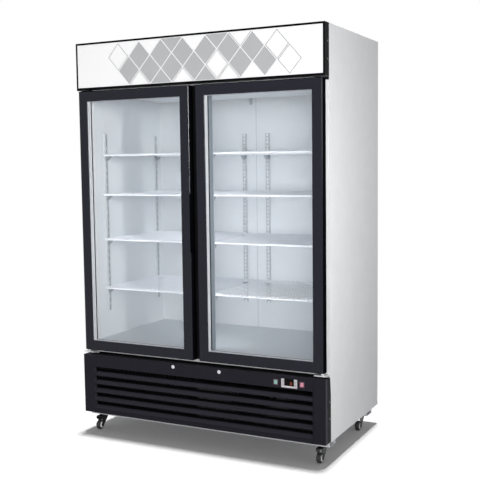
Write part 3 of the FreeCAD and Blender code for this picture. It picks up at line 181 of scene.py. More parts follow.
def surface(name, colour, shade, rough, patch=90, grain=1.2, relief=0.02, mirror=0.5, layers=(), dull=None,
            **shader):
    """An opaque finish. Broad patches drift between two colours and two roughnesses, and a fine grain
    lies on top. Patch, grain and relief are in millimetres, and mirror is the specular level. Each layer's
    colour shows where its mask is one, and where the dull mask is one the face mirrors nothing."""
    material, tree = blank_material(name)
    place = add(tree, "ShaderNodeTexCoord").outputs["Object"]
    patches = add(tree, "ShaderNodeTexNoise",
                  {"Vector": place, "Scale": per_metre(patch * MM), "Detail": 4.0, "Roughness": 0.6})
    grains = add(tree, "ShaderNodeTexNoise",
                 {"Vector": place, "Scale": per_metre(grain * MM), "Detail": 2.0, "Roughness": 0.5})
    tone = add(tree, "ShaderNodeValToRGB", {"Fac": patches.outputs["Fac"]})
    tone.color_ramp.elements[0].position = SHADE_UNDER
    tone.color_ramp.elements[0].color = linear(shade)
    tone.color_ramp.elements[1].position = COLOUR_OVER
    tone.color_ramp.elements[1].color = linear(colour)
    paint = tone.outputs["Color"]
    for cover, mask in layers:
        paint = add(tree, "ShaderNodeMixRGB", {0: mask(tree, place), 1: paint, 2: linear(cover)}).outputs[0]
    gloss = add(tree, "ShaderNodeMapRange",
                {"Value": patches.outputs["Fac"], "From Min": SHADE_UNDER, "From Max": ROUGH_OVER,
                 "To Min": rough[0], "To Max": rough[1]})
    bump = add(tree, "ShaderNodeBump",
               {"Height": grains.outputs["Fac"], "Distance": relief * MM, "Strength": GRAIN_STRENGTH})
    body = add(tree, "ShaderNodeBsdfPrincipled",
               {"Base Color": paint, "Roughness": gloss.outputs["Result"], "Specular IOR Level": mirror,
                "Normal": bump.outputs["Normal"], **shader})
    if dull:
        faded = add(tree, "ShaderNodeMapRange",
                    {"Value": dull(tree, place), "To Min": mirror, "To Max": 0.0})
        tree.links.new(faded.outputs[0], body.inputs["Specular IOR Level"])
    add(tree, "ShaderNodeOutputMaterial", {"Surface": body.outputs["BSDF"]})
    return material


# Powder-coated sheet steel: a white skin with a faint orange peel that softens highlights. In the machine bay
# it is painted black, a painted shade, so that the grille's slots read dark.
painted_bay_shade = both(both(below("Z", BAY_TOP), past("Y", BAY_FRONT)), within("X", 0, SIDE_SKIN * 2))
white_paint = surface("white_powder_coat", "#F1F2F3", "#EDEEF0", (0.34, 0.42), grain=2.5, relief=0.03,
                      mirror=0.2, layers=[("#121314", painted_bay_shade)])
# Painted liner sheet: a cool, even white that takes the light of the lamps, with a grey seam down its back.
liner_white = surface("liner_painted_sheet", "#E9EDF0", "#E4E9ED", (0.35, 0.45), patch=200,
                      layers=[("#D6DBDE", below("Z", FLOOR_LEVEL + CLEARANCE)),
                              ("#B4BABF", both(within("X", 0, LINER_SEAM), past("Y", BACK_WALL)))])
# Polyurethane foam: buff, open-celled and quite dull, and painted black where it faces the machine bay, as
# painted shade.
foam = surface("polyurethane_foam", "#DDCFA4", "#CDBE92", (0.85, 0.95), patch=12, grain=1.5, relief=0.4,
               layers=[("#141415", below("Z", BAY_TOP + CLEARANCE * 2))])
# Powder-coated aluminium extrusion: charcoal with a fine even texture. Its side faces are painted darker and
# mirror nothing, a painted shade.
door_charcoal = surface("charcoal_powder_coat", "#0F101E", "#0E0E1B", (0.2, 0.26), grain=0.8, relief=0.01,
                        mirror=0.25, layers=[("#09090D", past("Y", DOOR_EDGE))], dull=past("Y", DOOR_EDGE))
# Moulded ABS: near black with a soft sheen.
header_black = surface("moulded_abs_black", "#0B0C0E", "#090A0C", (0.35, 0.45), grain=0.9, mirror=0.02)
# Painted steel pressing: black with a satin face. The slants of its blades are painted paler, as painted
# light, and its depths black, as painted shade.
grille_black = surface("satin_black_paint", "#24232A", "#212027", (0.5, 0.6), grain=1.0, relief=0.03,
                       mirror=0.06, layers=[("#3B3A43", past("Y", BLADE_FRONT, blend=2)),
                                            ("#08080A", past("Y", BLADE_FRONT + BLADE_DEPTH, blend=3))])
# Coated mullion: black toward the doors, and a mid grey where it lies behind them.
mullion_black = surface("mullion_black_coat", "#131317", "#101013", (0.4, 0.5), mirror=0.25,
                        layers=[("#929CA3", past("Y", FRONT_PLANE + CLEARANCE))])
# Opal acrylic sheet: white, smooth and lit a little from behind.
sign_white = surface("opal_acrylic", "#FBFBFC", "#F8F8F9", (0.15, 0.22), patch=300, relief=0.005, mirror=0.15,
                     **{"Emission Color": (1, 1, 1, 1), "Emission Strength": 0.25})
# Hot-dipped zinc: grey with large pale crystals.
galvanised = surface("galvanised_steel", "#DCDEE1", "#CBCED2", (0.35, 0.55), patch=18, Metallic=0.35)
# The same zinc in the machine bay, painted black on its inner faces as painted shade.
bay_zinc = surface("galvanised_bay_steel", "#DCDEE1", "#CBCED2", (0.5, 0.65), patch=18,
                   layers=[("#0E0F10", both(past("Z", TRAY_TOP), below("Y", REAR_SKIN)))])
# Hinge brackets: bright zinc at the foot of the doors, and near black at their head.
bracket_steel = surface("zinc_plated_steel", "#DDDEE0", "#CFD1D4", (0.3, 0.42), patch=30, Metallic=0.4,
                        layers=[("#1B1B1F", past("Z", MID_HEIGHT))])
# Anodised spacer bar between the panes: pale and slightly brushed.
spacer_white = surface("spacer_bar", "#EDEFF2", "#E5E8EC", (0.4, 0.5), patch=40)
# Extruded PVC gasket: dull grey and a little soft.
gasket_grey = surface("gasket_pvc", "#838C91", "#7B8489", (0.55, 0.68), patch=30, grain=0.8)
# Moulded polypropylene of the sensor's holder: a soft pale grey.
sensor_grey = surface("moulded_polypropylene_grey", "#C2C8CE", "#B9C0C6", (0.45, 0.55), patch=20)
# Wire dipped in polyethylene: white with a waxy skin.
wire_white = surface("polyethylene_coating", "#F2F5FB", "#ECF0F6", (0.35, 0.45), patch=60)
# Slotted strips for the shelves: pale zinc. On the back wall, white bars of painted light stand for the lit
# liner seen through the slots; on the side walls the strips are paler, with a grey line of painted shade down
# each for the slots.
on_side_walls = within("X", WALL_STRIPS, WALL_STRIP_BAND)
strip_zinc = surface("zinc_shelf_strip", "#CDD2D7", "#C2C8CD", (0.35, 0.5), patch=25, layers=[
    ("#FFFFFF", both(rows("Z", 0, SLOT_PITCH, SLOT_SHARE), within("X", BACK_STRIPS, PAINTED_SLOT_BAND))),
    ("#D3D8DC", on_side_walls),
    ("#9FA6AC", both(on_side_walls, within("Y", -FRONT_STRIP, PAINTED_SLOT_BAND))),
    ("#9FA6AC", both(on_side_walls, within("Y", REAR_STRIP, PAINTED_SLOT_BAND))),
])
# Zinc-plated clips: a duller grey than the strips that they hang in.
clip_zinc = surface("zinc_shelf_clip", "#A9B0B5", "#9CA3A9", (0.4, 0.5), patch=25, Metallic=0.2)
# Stove enamel on the compressor's shell: black with a low, even gloss.
compressor_black = surface("stove_enamel_black", "#0B0C0D", "#090A0B", (0.5, 0.6), patch=60, mirror=0.1)
# Rolled aluminium fins: light grey metal with a soft shine.
coil_aluminium = surface("aluminium_fin_stock", "#C8CBCE", "#B4B8BC", (0.3, 0.45), patch=20, Metallic=0.9)
# Drawn copper tube: warm, with dull oxide patches.
copper = surface("copper_tube", "#C6805A", "#9C5E40", (0.28, 0.5), patch=25, Metallic=1.0)
# Drawn steel of the motor cases: a mid grey metal, half dull.
motor_steel = surface("motor_case_steel", "#8A8E92", "#7B7F83", (0.4, 0.55), patch=25, Metallic=0.8)
# Moulded glass-filled nylon of the fans: dark grey and matt.
fan_plastic = surface("glass_filled_nylon", "#2A2B2D", "#232426", (0.5, 0.62), patch=20)
# Moulded polypropylene of the pans: near black with a soft sheen.
pan_plastic = surface("polypropylene_tray", "#1E1F21", "#191A1C", (0.45, 0.55), patch=50)
# Moulded nylon round the rockers: dark, with a red cast.
switch_black = surface("switch_nylon", "#5B3440", "#50303A", (0.35, 0.45), patch=10)
# Dyed polycarbonate rockers, smooth and glossy: one a pale green, the other a pale red.
switch_green = surface("green_polycarbonate", "#93C3BA", "#82B3AA", (0.15, 0.25), patch=10)
switch_red = surface("red_polycarbonate", "#DD9AAB", "#CB8094", (0.15, 0.25), patch=10)
# Moulded ABS of the controller: a light grey with a satin face.
controller_grey = surface("controller_abs", "#D6D2D6", "#CCC8CC", (0.4, 0.5), patch=25)
# Smoked acrylic window: near black and smooth, with little mirror.
display_black = surface("display_window", "#0E0A09", "#0B0807", (0.15, 0.22), patch=30, relief=0.002,
                        mirror=0.05)
# Moulded silicone keys: a matt mid grey.
key_grey = surface("silicone_key", "#B9B6BA", "#ABA8AC", (0.5, 0.6), patch=8)
# Chromed zinc casting of the locks: bright, with a clear mirror.
lock_chrome = surface("chromed_zinc", "#E3E4E6", "#D5D6D9", (0.12, 0.22), patch=8, Metallic=0.85)
# Black zinc on the pressed forks: near black with a low sheen.
fork_black = surface("black_zinc_steel", "#101014", "#0C0C10", (0.4, 0.5), patch=15, mirror=0.3)
# Moulded thermoplastic rubber of the wheels: charcoal and dull.
wheel_rubber = surface("thermoplastic_rubber", "#2B2B2D", "#232325", (0.55, 0.7), patch=12)
# Moulded polypropylene hubs: white with a soft sheen.
hub_plastic = surface("moulded_polypropylene_hub", "#F6F6F3", "#ECECE9", (0.35, 0.45), patch=10)
# Screen print on the sign: flat greys with a matt ink edge.
print_grey = surface("screen_print_grey", "#D2D3D5", "#CECFD1", (0.3, 0.36), patch=150, relief=0.004,
                     mirror=0.15)
print_line = surface("screen_print_line", "#A6A7AA", "#A1A2A5", (0.3, 0.36), patch=150, relief=0.004,
                     mirror=0.15)
# Plated steel of the cover screws: a grey metal that glints.
bright_screw = surface("plated_screw_steel", "#B9BCC0", "#A4A8AC", (0.28, 0.4), patch=4, Metallic=0.85)
# The cross in a screw's head: dark, because little light gets into it.
recess_dark = surface("screw_recess", "#1A1A1C", "#121214", (0.6, 0.7), patch=2)


def glowing(name, colour, strength, rough, grain=6, drift=0.1):
    """A surface that gives light, which drifts by a share over the grain of its cover, in millimetres."""
    material, tree = blank_material(name)
    place = add(tree, "ShaderNodeTexCoord").outputs["Object"]
    grains = add(tree, "ShaderNodeTexNoise", {"Vector": place, "Scale": per_metre(grain * MM)})
    level = add(tree, "ShaderNodeMapRange",
                {"Value": grains.outputs["Fac"], "To Min": strength * (1 - drift),
                 "To Max": strength * (1 + drift)})
    body = add(tree, "ShaderNodeBsdfPrincipled",
               {"Base Color": linear(colour), "Roughness": rough, "Emission Color": linear(colour),
                "Emission Strength": level.outputs["Result"]})
    add(tree, "ShaderNodeOutputMaterial", {"Surface": body.outputs["BSDF"]})
    return material


# Frosted lamp cover, lit from inside: an even, cool white glow.
lamp_white = glowing("frosted_lamp_cover", "#F6F9FF", 11.5, 0.5)
# Segments of the display: a dim red light.
digit_glow = glowing("display_segment", "#A34F2C", 0.22, 0.4)


def window_glass(name):
    """Clear soda-lime glass: see-through, with the mirror of its faces growing at a slant. A coating takes
    part of that mirror away."""
    wave_length, wave_depth, index, polish, mirror_share = 400 * MM, 0.05 * MM, 1.45, 0.02, 0.35
    material, tree = blank_material(name)
    place = add(tree, "ShaderNodeTexCoord").outputs["Object"]
    waves = add(tree, "ShaderNodeTexNoise", {"Vector": place, "Scale": per_metre(wave_length), "Detail": 1.0})
    ripple = add(tree, "ShaderNodeBump",
                 {"Height": waves.outputs["Fac"], "Distance": wave_depth, "Strength": 0.2})
    edge = add(tree, "ShaderNodeFresnel", {"IOR": index, "Normal": ripple.outputs["Normal"]})
    clear = add(tree, "ShaderNodeBsdfTransparent", {"Color": linear("#FDFDFD")})
    mirror = add(tree, "ShaderNodeBsdfGlossy", {"Roughness": polish, "Normal": ripple.outputs["Normal"]})
    coated = add(tree, "ShaderNodeMath", {0: edge.outputs["Fac"], 1: mirror_share}, operation="MULTIPLY")
    body = add(tree, "ShaderNodeMixShader",
               {0: coated.outputs[0], 1: clear.outputs["BSDF"], 2: mirror.outputs["BSDF"]})
    add(tree, "ShaderNodeOutputMaterial", {"Surface": body.outputs["Shader"]})
    return material


glass = window_glass("clear_float_glass")

FINISHES = dict(
    white_paint=white_paint, liner_white=liner_white, foam=foam,
    door_charcoal=door_charcoal, header_black=header_black, grille_black=grille_black,
    mullion_black=mullion_black, sign_white=sign_white, lamp_white=lamp_white,
    galvanised=galvanised, bracket_steel=bracket_steel, glass=glass,
    spacer_white=spacer_white, gasket_grey=gasket_grey, wire_white=wire_white,
    clip_zinc=clip_zinc, compressor_black=compressor_black, coil_aluminium=coil_aluminium,
    copper=copper, motor_steel=motor_steel, fan_plastic=fan_plastic,
    pan_plastic=pan_plastic, switch_black=switch_black, switch_green=switch_green,
    switch_red=switch_red, controller_grey=controller_grey, display_black=display_black,
    key_grey=key_grey, lock_chrome=lock_chrome, fork_black=fork_black,
    wheel_rubber=wheel_rubber,
)


def dress_solids():
    """Gives each solid the finish that its record names."""
    for part in frame["record"]["subparts"]:
        solid = nodes[part["node"]]
        solid.data.materials.clear()
        solid.data.materials.append(FINISHES[part["material_slot"]])
    nodes["shelf_pilasters"].data.materials[0] = strip_zinc
    for name in ("base_frame", "rear_grille", "condenser_fan_shroud"):
        nodes[name].data.materials[0] = bay_zinc


dress_solids()


def rounded(item, width, segments=2, sharp=30):
    """A small round on the edges of a piece that turn by more than a sharp angle, in degrees."""
    bevel = item.modifiers.new("rounded", "BEVEL")
    bevel.width = width
    bevel.segments = segments
    bevel.limit_method = "ANGLE"
    bevel.angle_limit = math.radians(sharp)


def soften_edges(names, width):
    """A small round on a solid's sharp edges, so that they catch the light."""
    for name in names:
        nodes[name].modifiers.new("joined", "WELD").merge_threshold = MERGE * 2
        rounded(nodes[name], width, sharp=40)


DOOR_FRAMES = ["left_door_frame", "right_door_frame"]
FRAME_ROUND = 0.8 * MM
soften_edges([*DOOR_FRAMES, "header_housing"], FRAME_ROUND)


def piece(name, mesh, material, body, finish, *stands_for):
    """Puts a mesh into the scene as one piece that moves with a body."""
    item = bpy.data.objects.new(name, mesh)
    bpy.context.scene.collection.objects.link(item)
    if material:
        mesh.materials.clear()
        mesh.materials.append(material)
    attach(item, body)
    if stands_for:
        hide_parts(*stands_for)
    return item


def mesh_of(shape, name, smooth=True):
    """Turns a bmesh into a mesh whose faces point outwards."""
    bmesh.ops.remove_doubles(shape, verts=shape.verts, dist=MERGE)
    bmesh.ops.recalc_face_normals(shape, faces=shape.faces)
    mesh = bpy.data.meshes.new(name)
    shape.to_mesh(mesh)
    shape.free()
    mesh.polygons.foreach_set("use_smooth", [smooth] * len(mesh.polygons))
    return mesh


def swept_ring(profile, xs, zs, name):
    """A closed section carried round a rectangle with mitred corners. Each profile point gives how far
    it lies inside the rectangle and its place along Y."""
    shape = bmesh.new()
    loops = []
    for inset, y in profile:
        corners = [(xs[0] + inset, zs[0] + inset), (xs[1] - inset, zs[0] + inset),
                   (xs[1] - inset, zs[1] - inset), (xs[0] + inset, zs[1] - inset)]
        loops.append([shape.verts.new((x, y, z)) for x, z in corners])
    for index, loop in enumerate(loops):
        following = loops[(index + 1) % len(loops)]
        for corner in range(4):
            after = (corner + 1) % 4
            shape.faces.new((loop[corner], loop[after], following[after], following[corner]))
    return mesh_of(shape, name, False)


def turned(profile, steps, place, turn=None):
    """A profile of radius and height turned about Z, then moved into place, as vertices and faces."""
    shape = bmesh.new()
    rings = []
    for radius, height in profile:
        ring = []
        for step in range(steps):
            angle = math.tau * step / steps
            ring.append(shape.verts.new((radius * math.cos(angle), radius * math.sin(angle), height)))
        rings.append(ring)
    for lower, upper in zip(rings, rings[1:]):
        for step in range(steps):
            after = (step + 1) % steps
            shape.faces.new((lower[step], lower[after], upper[after], upper[step]))
    shape.faces.new(rings[0])
    shape.faces.new(rings[-1])
    bmesh.ops.transform(shape, matrix=Matrix.Translation(place) @ (turn or Matrix()), verts=shape.verts)
    return shape


def slab(shape, outline, ys):
    """A flat plate with an outline in X and Z, between two places along Y."""
    near = [shape.verts.new((x, ys[0], z)) for x, z in outline]
    far = [shape.verts.new((x, ys[1], z)) for x, z in outline]
    count = len(outline)
    shape.faces.new(near)
    shape.faces.new(far)
    for index in range(count):
        after = (index + 1) % count
        shape.faces.new((near[index], near[after], far[after], far[index]))


def frame_slab(shape, outer, inner, ys):
    """A flat ring between two outlines of as many points, between two places along Y."""
    loops = [[shape.verts.new((x, y, z)) for x, z in line] for y in ys for line in (outer, inner)]
    near_out, near_in, far_out, far_in = loops
    count = len(outer)
    for index in range(count):
        after = (index + 1) % count
        for one, two in ((near_out, near_in), (near_in, far_in), (far_in, far_out), (far_out, near_out)):
            shape.faces.new((one[index], one[after], two[after], two[index]))


# Door glass.

def glass_units():
    """The sealed unit of each door from its outer to its inner face. The spacer bars show inside it."""
    for side in SIDES:
        low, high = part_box(f"{side}_door_glass")
        shape = bmesh.new()
        corners = [(low[0], low[2]), (high[0], low[2]), (high[0], high[2]), (low[0], high[2])]
        slab(shape, corners, (low[1], high[1]))
        mesh = mesh_of(shape, f"{side}_sealed_glass", False)
        piece(f"{side}_sealed_glass", mesh, glass, f"{side}_door", "glass", f"{side}_door_glass")


glass_units()


# Wire shelves.

# Places of the rods along Y, in metres.
SHELF_ROD_PLACES = (-0.2645, -0.222, 0.275, 0.3085)
SHELF_WIRE_RADIUS = 2.5 * MM
SHELF_ROD_RADIUS = 3.5 * MM
SHELF_WELD = 0.4 * MM
SHELF_WIRE_PITCH = 25 * MM
SHELF_TRIM = 0.3 * MM
WIRE_SIDES = 8
ROD_SIDES = 10


def new_tree(name, output, **inputs):
    """A geometry tree with one output and with inputs of the given kinds. Returns it and its inputs."""
    tree = bpy.data.node_groups.new(name, "GeometryNodeTree")
    for title, kind in inputs.items():
        tree.interface.new_socket(title.replace("_", " "), in_out="INPUT", socket_type="NodeSocket" + kind)
    tree.interface.new_socket(output, in_out="OUTPUT", socket_type="NodeSocketGeometry")
    return tree, add(tree, "NodeGroupInput").outputs


def shelf_tree():
    """Wires from front to back on rods from side to side, set on each point of the mesh it is given."""
    tree, given = new_tree("wire_shelves", "Shelves", Points="Geometry", Width="Float", Front="Float",
                           Back="Float", Wire_Pitch="Float", Wire_Radius="Float", Rod_Radius="Float",
                           Rod_Drop="Float", Coating="Material")

    def round_bar(start, end, radius, sides):
        """A capped bar from one point to another."""
        line = add(tree, "GeometryNodeCurvePrimitiveLine", {"Start": start, "End": end}).outputs[0]
        ring = add(tree, "GeometryNodeCurvePrimitiveCircle",
                   {"Resolution": sides, "Radius": radius}).outputs[0]
        return add(tree, "GeometryNodeCurveToMesh",
                   {"Curve": line, "Profile Curve": ring, "Fill Caps": True}).outputs[0]

    half = add(tree, "ShaderNodeMath", {0: given["Width"], 1: 0.5}, operation="MULTIPLY").outputs[0]
    less = add(tree, "ShaderNodeMath", {0: half, 1: -1.0}, operation="MULTIPLY").outputs[0]
    front = add(tree, "ShaderNodeCombineXYZ", {"Y": given["Front"]}).outputs[0]
    back = add(tree, "ShaderNodeCombineXYZ", {"Y": given["Back"]}).outputs[0]
    wire = round_bar(front, back, given["Wire Radius"], WIRE_SIDES)
    spaces = add(tree, "ShaderNodeMath", {0: given["Width"], 1: given["Wire Pitch"]}, operation="DIVIDE")
    whole = add(tree, "ShaderNodeMath", {0: spaces.outputs[0]}, operation="ROUND").outputs[0]
    count = add(tree, "ShaderNodeMath", {0: whole, 1: 1.0}, operation="ADD").outputs[0]
    pitch = add(tree, "ShaderNodeMath", {0: given["Width"], 1: whole}, operation="DIVIDE").outputs[0]
    row_start = add(tree, "ShaderNodeCombineXYZ", {"X": less}).outputs[0]
    row_step = add(tree, "ShaderNodeCombineXYZ", {"X": pitch}).outputs[0]
    row = add(tree, "GeometryNodeMeshLine",
              {"Count": count, "Start Location": row_start, "Offset": row_step}).outputs[0]
    wires = add(tree, "GeometryNodeInstanceOnPoints", {"Points": row, "Instance": wire}).outputs[0]
    rod_start = add(tree, "ShaderNodeCombineXYZ", {"X": less, "Z": given["Rod Drop"]}).outputs[0]
    rod_end = add(tree, "ShaderNodeCombineXYZ", {"X": half, "Z": given["Rod Drop"]}).outputs[0]
    rod = round_bar(rod_start, rod_end, given["Rod Radius"], ROD_SIDES)
    joined = add(tree, "GeometryNodeJoinGeometry")
    tree.links.new(wires, joined.inputs[0])
    for place in SHELF_ROD_PLACES:
        moved = add(tree, "GeometryNodeTransform", {"Geometry": rod, "Translation": (0, place, 0)})
        tree.links.new(moved.outputs[0], joined.inputs[0])
    set_down = add(tree, "GeometryNodeInstanceOnPoints",
                   {"Points": given["Points"], "Instance": joined.outputs[0]}).outputs[0]
    real = add(tree, "GeometryNodeRealizeInstances", {"Geometry": set_down}).outputs[0]
    coated = add(tree, "GeometryNodeSetMaterial", {"Geometry": real, "Material": given["Coating"]}).outputs[0]
    add(tree, "NodeGroupOutput", {"Shelves": coated})
    return tree


def grown(name, points, tree, **values):
    """The plain mesh that a node tree makes from points."""
    mesh = bpy.data.meshes.new(name + "_points")
    mesh.from_pydata(points, [], [])
    holder = bpy.data.objects.new(name + "_holder", mesh)
    bpy.context.scene.collection.objects.link(holder)
    modifier = holder.modifiers.new("grown", "NODES")
    modifier.node_group = tree
    sockets = {item.name: item.identifier for item in tree.interface.items_tree if item.in_out == "INPUT"}
    for title, value in values.items():
        modifier[sockets[title.replace("_", " ")]] = value
    seen = holder.evaluated_get(bpy.context.evaluated_depsgraph_get())
    result = bpy.data.meshes.new_from_object(seen)
    result.name = name
    bpy.data.objects.remove(holder)
    bpy.data.meshes.remove(mesh)
    return result


def shelves():
    """The wire shelves of each side, as one mesh."""
    tree = shelf_tree()
    for side in SIDES:
        low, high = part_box(f"{side}_shelves")
        middle = (low[0] + high[0]) / 2
        points = [(middle, 0, level * MM - SHELF_WIRE_RADIUS) for level in SHELF_LEVELS]
        mesh = grown(
            f"{side}_wire_shelves", points, tree,
            Width=high[0] - low[0] - SHELF_WIRE_RADIUS * 2,
            Front=low[1] + SHELF_TRIM, Back=high[1] - SHELF_TRIM,
            Wire_Pitch=SHELF_WIRE_PITCH, Wire_Radius=SHELF_WIRE_RADIUS, Rod_Radius=SHELF_ROD_RADIUS,
            Rod_Drop=SHELF_WELD - SHELF_WIRE_RADIUS - SHELF_ROD_RADIUS, Coating=wire_white,
        )
        piece(f"{side}_wire_shelves", mesh, None, CABINET, "wire_white", f"{side}_shelves")


shelves()


# Door gaskets.

GASKET_WIDTH = 26 * MM
GASKET_LIP = 1 * MM


def gaskets():
    """A magnet pocket on a bellows, with a dart that clips it into the door."""
    wide, lip = GASKET_WIDTH, GASKET_LIP
    for side in SIDES:
        low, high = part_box(f"{side}_door_gasket")
        near, far = low[1], high[1]
        depth = far - near
        profile = [
            (lip * 4, near), (wide - lip * 3, near), (wide - lip, near + depth * 0.15),
            (wide - lip * 2, near + depth * 0.4), (wide, near + depth * 0.6), (wide, far - lip),
            (wide - lip, far), (lip, far), (0, far - lip), (0, near + depth * 0.68),
            (lip * 5, near + depth * 0.6), (lip * 2, near + depth * 0.45), (lip * 5, near + depth * 0.3),
            (lip * 2, near + depth * 0.15),
        ]
        name = f"{side}_bellows_gasket"
        mesh = swept_ring(profile, (low[0], high[0]), (low[2], high[2]), name)
        piece(name, mesh, gasket_grey, f"{side}_door", "gasket_grey", f"{side}_door_gasket")


gaskets()


# Sensor holder high on the back wall.

def sensor_holder():
    """A moulded arm on the back wall whose end turns down round the sensor."""
    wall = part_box("shelf_pilasters")[1][1]
    left, right, top = -82 * MM, -20 * MM, 1806 * MM
    arm, drop, thick, edge = 11 * MM, 52 * MM, 16 * MM, 2.5 * MM
    outline = [(left, top), (left, top - arm * 0.8), (right - arm * 1.5, top - arm),
               (right - arm * 1.2, top - drop), (right, top - drop), (right, top - arm * 0.5),
               (right - arm * 0.5, top)]
    shape = bmesh.new()
    slab(shape, outline, (wall - thick, wall))
    mesh = mesh_of(shape, "sensor_holder", False)
    rounded(piece("sensor_holder", mesh, sensor_grey, CABINET, "wire_white"), edge, segments=3)


sensor_holder()


# Print on the header sign.

def diamond(x, z, across, up):
    """The corners of a diamond about a middle."""
    return [(x - across, z), (x, z - up), (x + across, z), (x, z + up)]


def clipped(outline, xs, zs):
    """The part of an outline that lies inside a rectangle."""
    for axis, limit, keeps_high in ((0, xs[0], True), (0, xs[1], False), (1, zs[0], True), (1, zs[1], False)):
        kept = []
        for index, point in enumerate(outline):
            before = outline[index - 1]
            inside = (point[axis] >= limit) == keeps_high
            was_inside = (before[axis] >= limit) == keeps_high
            if inside != was_inside:
                share = (limit - before[axis]) / (point[axis] - before[axis])
                kept.append(tuple(a + (b - a) * share for a, b in zip(before, point)))
            if inside:
                kept.append(point)
        outline = kept
        if not outline:
            return outline
    return outline


# Where each diamond stands: steps of half its width from the left, and of half its height from below.
FILLED_DIAMONDS = [(5, 1), (6, 2), (7, 1), (8, 0), (8, 2), (9, 1), (9, 3), (10, 2), (11, 1), (12, 0), (12, 2),
                   (13, 3), (14, 2), (15, 1), (16, 2), (17, 1)]
DRAWN_DIAMONDS = [(4, 2), (6, 0), (10, 0), (13, 1), (14, 0), (15, 3), (18, 2), (19, 1)]


def sign_print():
    """Diamonds in a loose band across the sign, some filled and some only drawn round."""
    low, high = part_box("header_sign")
    border = 9 * MM
    xs = (low[0] + border, high[0] - border)
    zs = (low[2] + border, high[2] - border)
    across, up, gap, line = 63 * MM, 71 * MM, 3 * MM, 4 * MM
    ink = 0.15 * MM
    ys = (low[1] - ink, low[1])

    def outline(place, inset):
        middle = (xs[0] + across * place[0], zs[0] + up * place[1])
        return clipped(diamond(*middle, across - inset, up - inset), xs, zs)

    filled = bmesh.new()
    for place in FILLED_DIAMONDS:
        slab(filled, outline(place, gap), ys)
    drawn = bmesh.new()
    for place in DRAWN_DIAMONDS:
        frame_slab(drawn, outline(place, gap), outline(place, gap + line), ys)
    piece("sign_print_filled", mesh_of(filled, "sign_print_filled", False), print_grey, CABINET, "sign_white")
    piece("sign_print_drawn", mesh_of(drawn, "sign_print_drawn", False), print_line, CABINET, "sign_white")


sign_print()


# Screws.

def screw_head(radius, height):
    """A domed head, standing on Z."""
    steps = 20
    profile = [(radius, 0), (radius, height * 0.35), (radius * 0.88, height * 0.7),
               (radius * 0.62, height * 0.95), (radius * 0.3, height)]
    return mesh_of(turned(profile, steps, (0, 0, 0)), "screw_head")


def screw_cross(radius, height):
    """The cross in a head, which just comes through its top."""
    shape = bmesh.new()
    arm, wide, top = radius * 0.55, radius * 0.13, height * 1.02
    outline = [(-arm, -wide), (-wide, -wide), (-wide, -arm), (wide, -arm), (wide, -wide), (arm, -wide),
               (arm, wide), (wide, wide), (wide, arm), (-wide, arm), (-wide, wide), (-arm, wide)]
    slab(shape, outline, (-top, 0))
    bmesh.ops.transform(shape, matrix=Matrix.Rotation(-QUARTER, 4, "X"), verts=shape.verts)
    return mesh_of(shape, "screw_cross", False)


def screw_tree():
    """Sets a head, or a head's cross, on each point, all turned the same way."""
    tree, given = new_tree("screws", "Screws", Points="Geometry", Shape="Object", Turn="Vector",
                           Steel="Material")
    head = add(tree, "GeometryNodeObjectInfo", {"Object": given["Shape"]}).outputs["Geometry"]
    turn = add(tree, "FunctionNodeEulerToRotation", {0: given["Turn"]}).outputs[0]
    set_in = add(tree, "GeometryNodeInstanceOnPoints",
                 {"Points": given["Points"], "Instance": head, "Rotation": turn}).outputs[0]
    real = add(tree, "GeometryNodeRealizeInstances", {"Geometry": set_in}).outputs[0]
    steel = add(tree, "GeometryNodeSetMaterial", {"Geometry": real, "Material": given["Steel"]}).outputs[0]
    add(tree, "NodeGroupOutput", {"Screws": steel})
    return tree


SCREWS = screw_tree()


def screws(name, points, turn, steel, radius, height, finish):
    """A row of screws, made of the heads and of the dark crosses in them."""
    for label, mesh, material in (("heads", screw_head(radius, height), steel),
                                  ("crosses", screw_cross(radius, height), recess_dark)):
        shape = bpy.data.objects.new(f"{name}_{label}_shape", mesh)
        grown_mesh = grown(f"{name}_{label}", points, SCREWS, Shape=shape, Turn=turn, Steel=material)
        bpy.data.objects.remove(shape)
        piece(f"{name}_{label}", grown_mesh, None, CABINET, finish)


def side_screws(node_name, setback, drop, spacing, finish):
    """Two screws in the seats on each outer side of a cover."""
    low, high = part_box(node_name)
    radius, height, sink = 4 * MM, 1.4 * MM, 1.5 * MM
    for side, sign in SIDES.items():
        x = (high[0] - sink) * sign
        points = [(x, low[1] + setback, high[2] - drop - spacing * step) for step in range(2)]
        turn = (0, QUARTER * sign, 0)
        screws(f"{side}_{node_name}_screws", points, turn, bright_screw, radius, height, finish)


side_screws("header_housing", setback=40 * MM, drop=82 * MM, spacing=80 * MM, finish="header_black")
side_screws("grille_end_caps", setback=57 * MM, drop=117 * MM, spacing=81 * MM, finish="grille_black")


# Casters.

CORNERS = ("front_left", "front_right", "rear_left", "rear_right")
CASTER_TRAIL = 32 * MM
KINGPIN_HOLE = 5.6 * MM
FORK_GAUGE = 3 * MM
FORK_EDGE = 0.5 * MM
# Radius and height of each turn of the hub's face, in millimetres.
HUB_PROFILE = [(16.5, 0.0), (16.5, 0.5), (15.6, 1.0), (14.4, 1.0), (13.4, 0.4), (9.4, 0.4), (8.4, 0.9),
               (7.8, 1.3), (5.4, 1.3), (5.2, 0.2)]
HUB_STEPS = 32


def ring_of(points, x, z, radius):
    """The corners of a regular figure about a middle."""
    turns = [math.tau * (step + 0.5) / points for step in range(points)]
    return [(x + radius * math.cos(turn), z + radius * math.sin(turn)) for turn in turns]


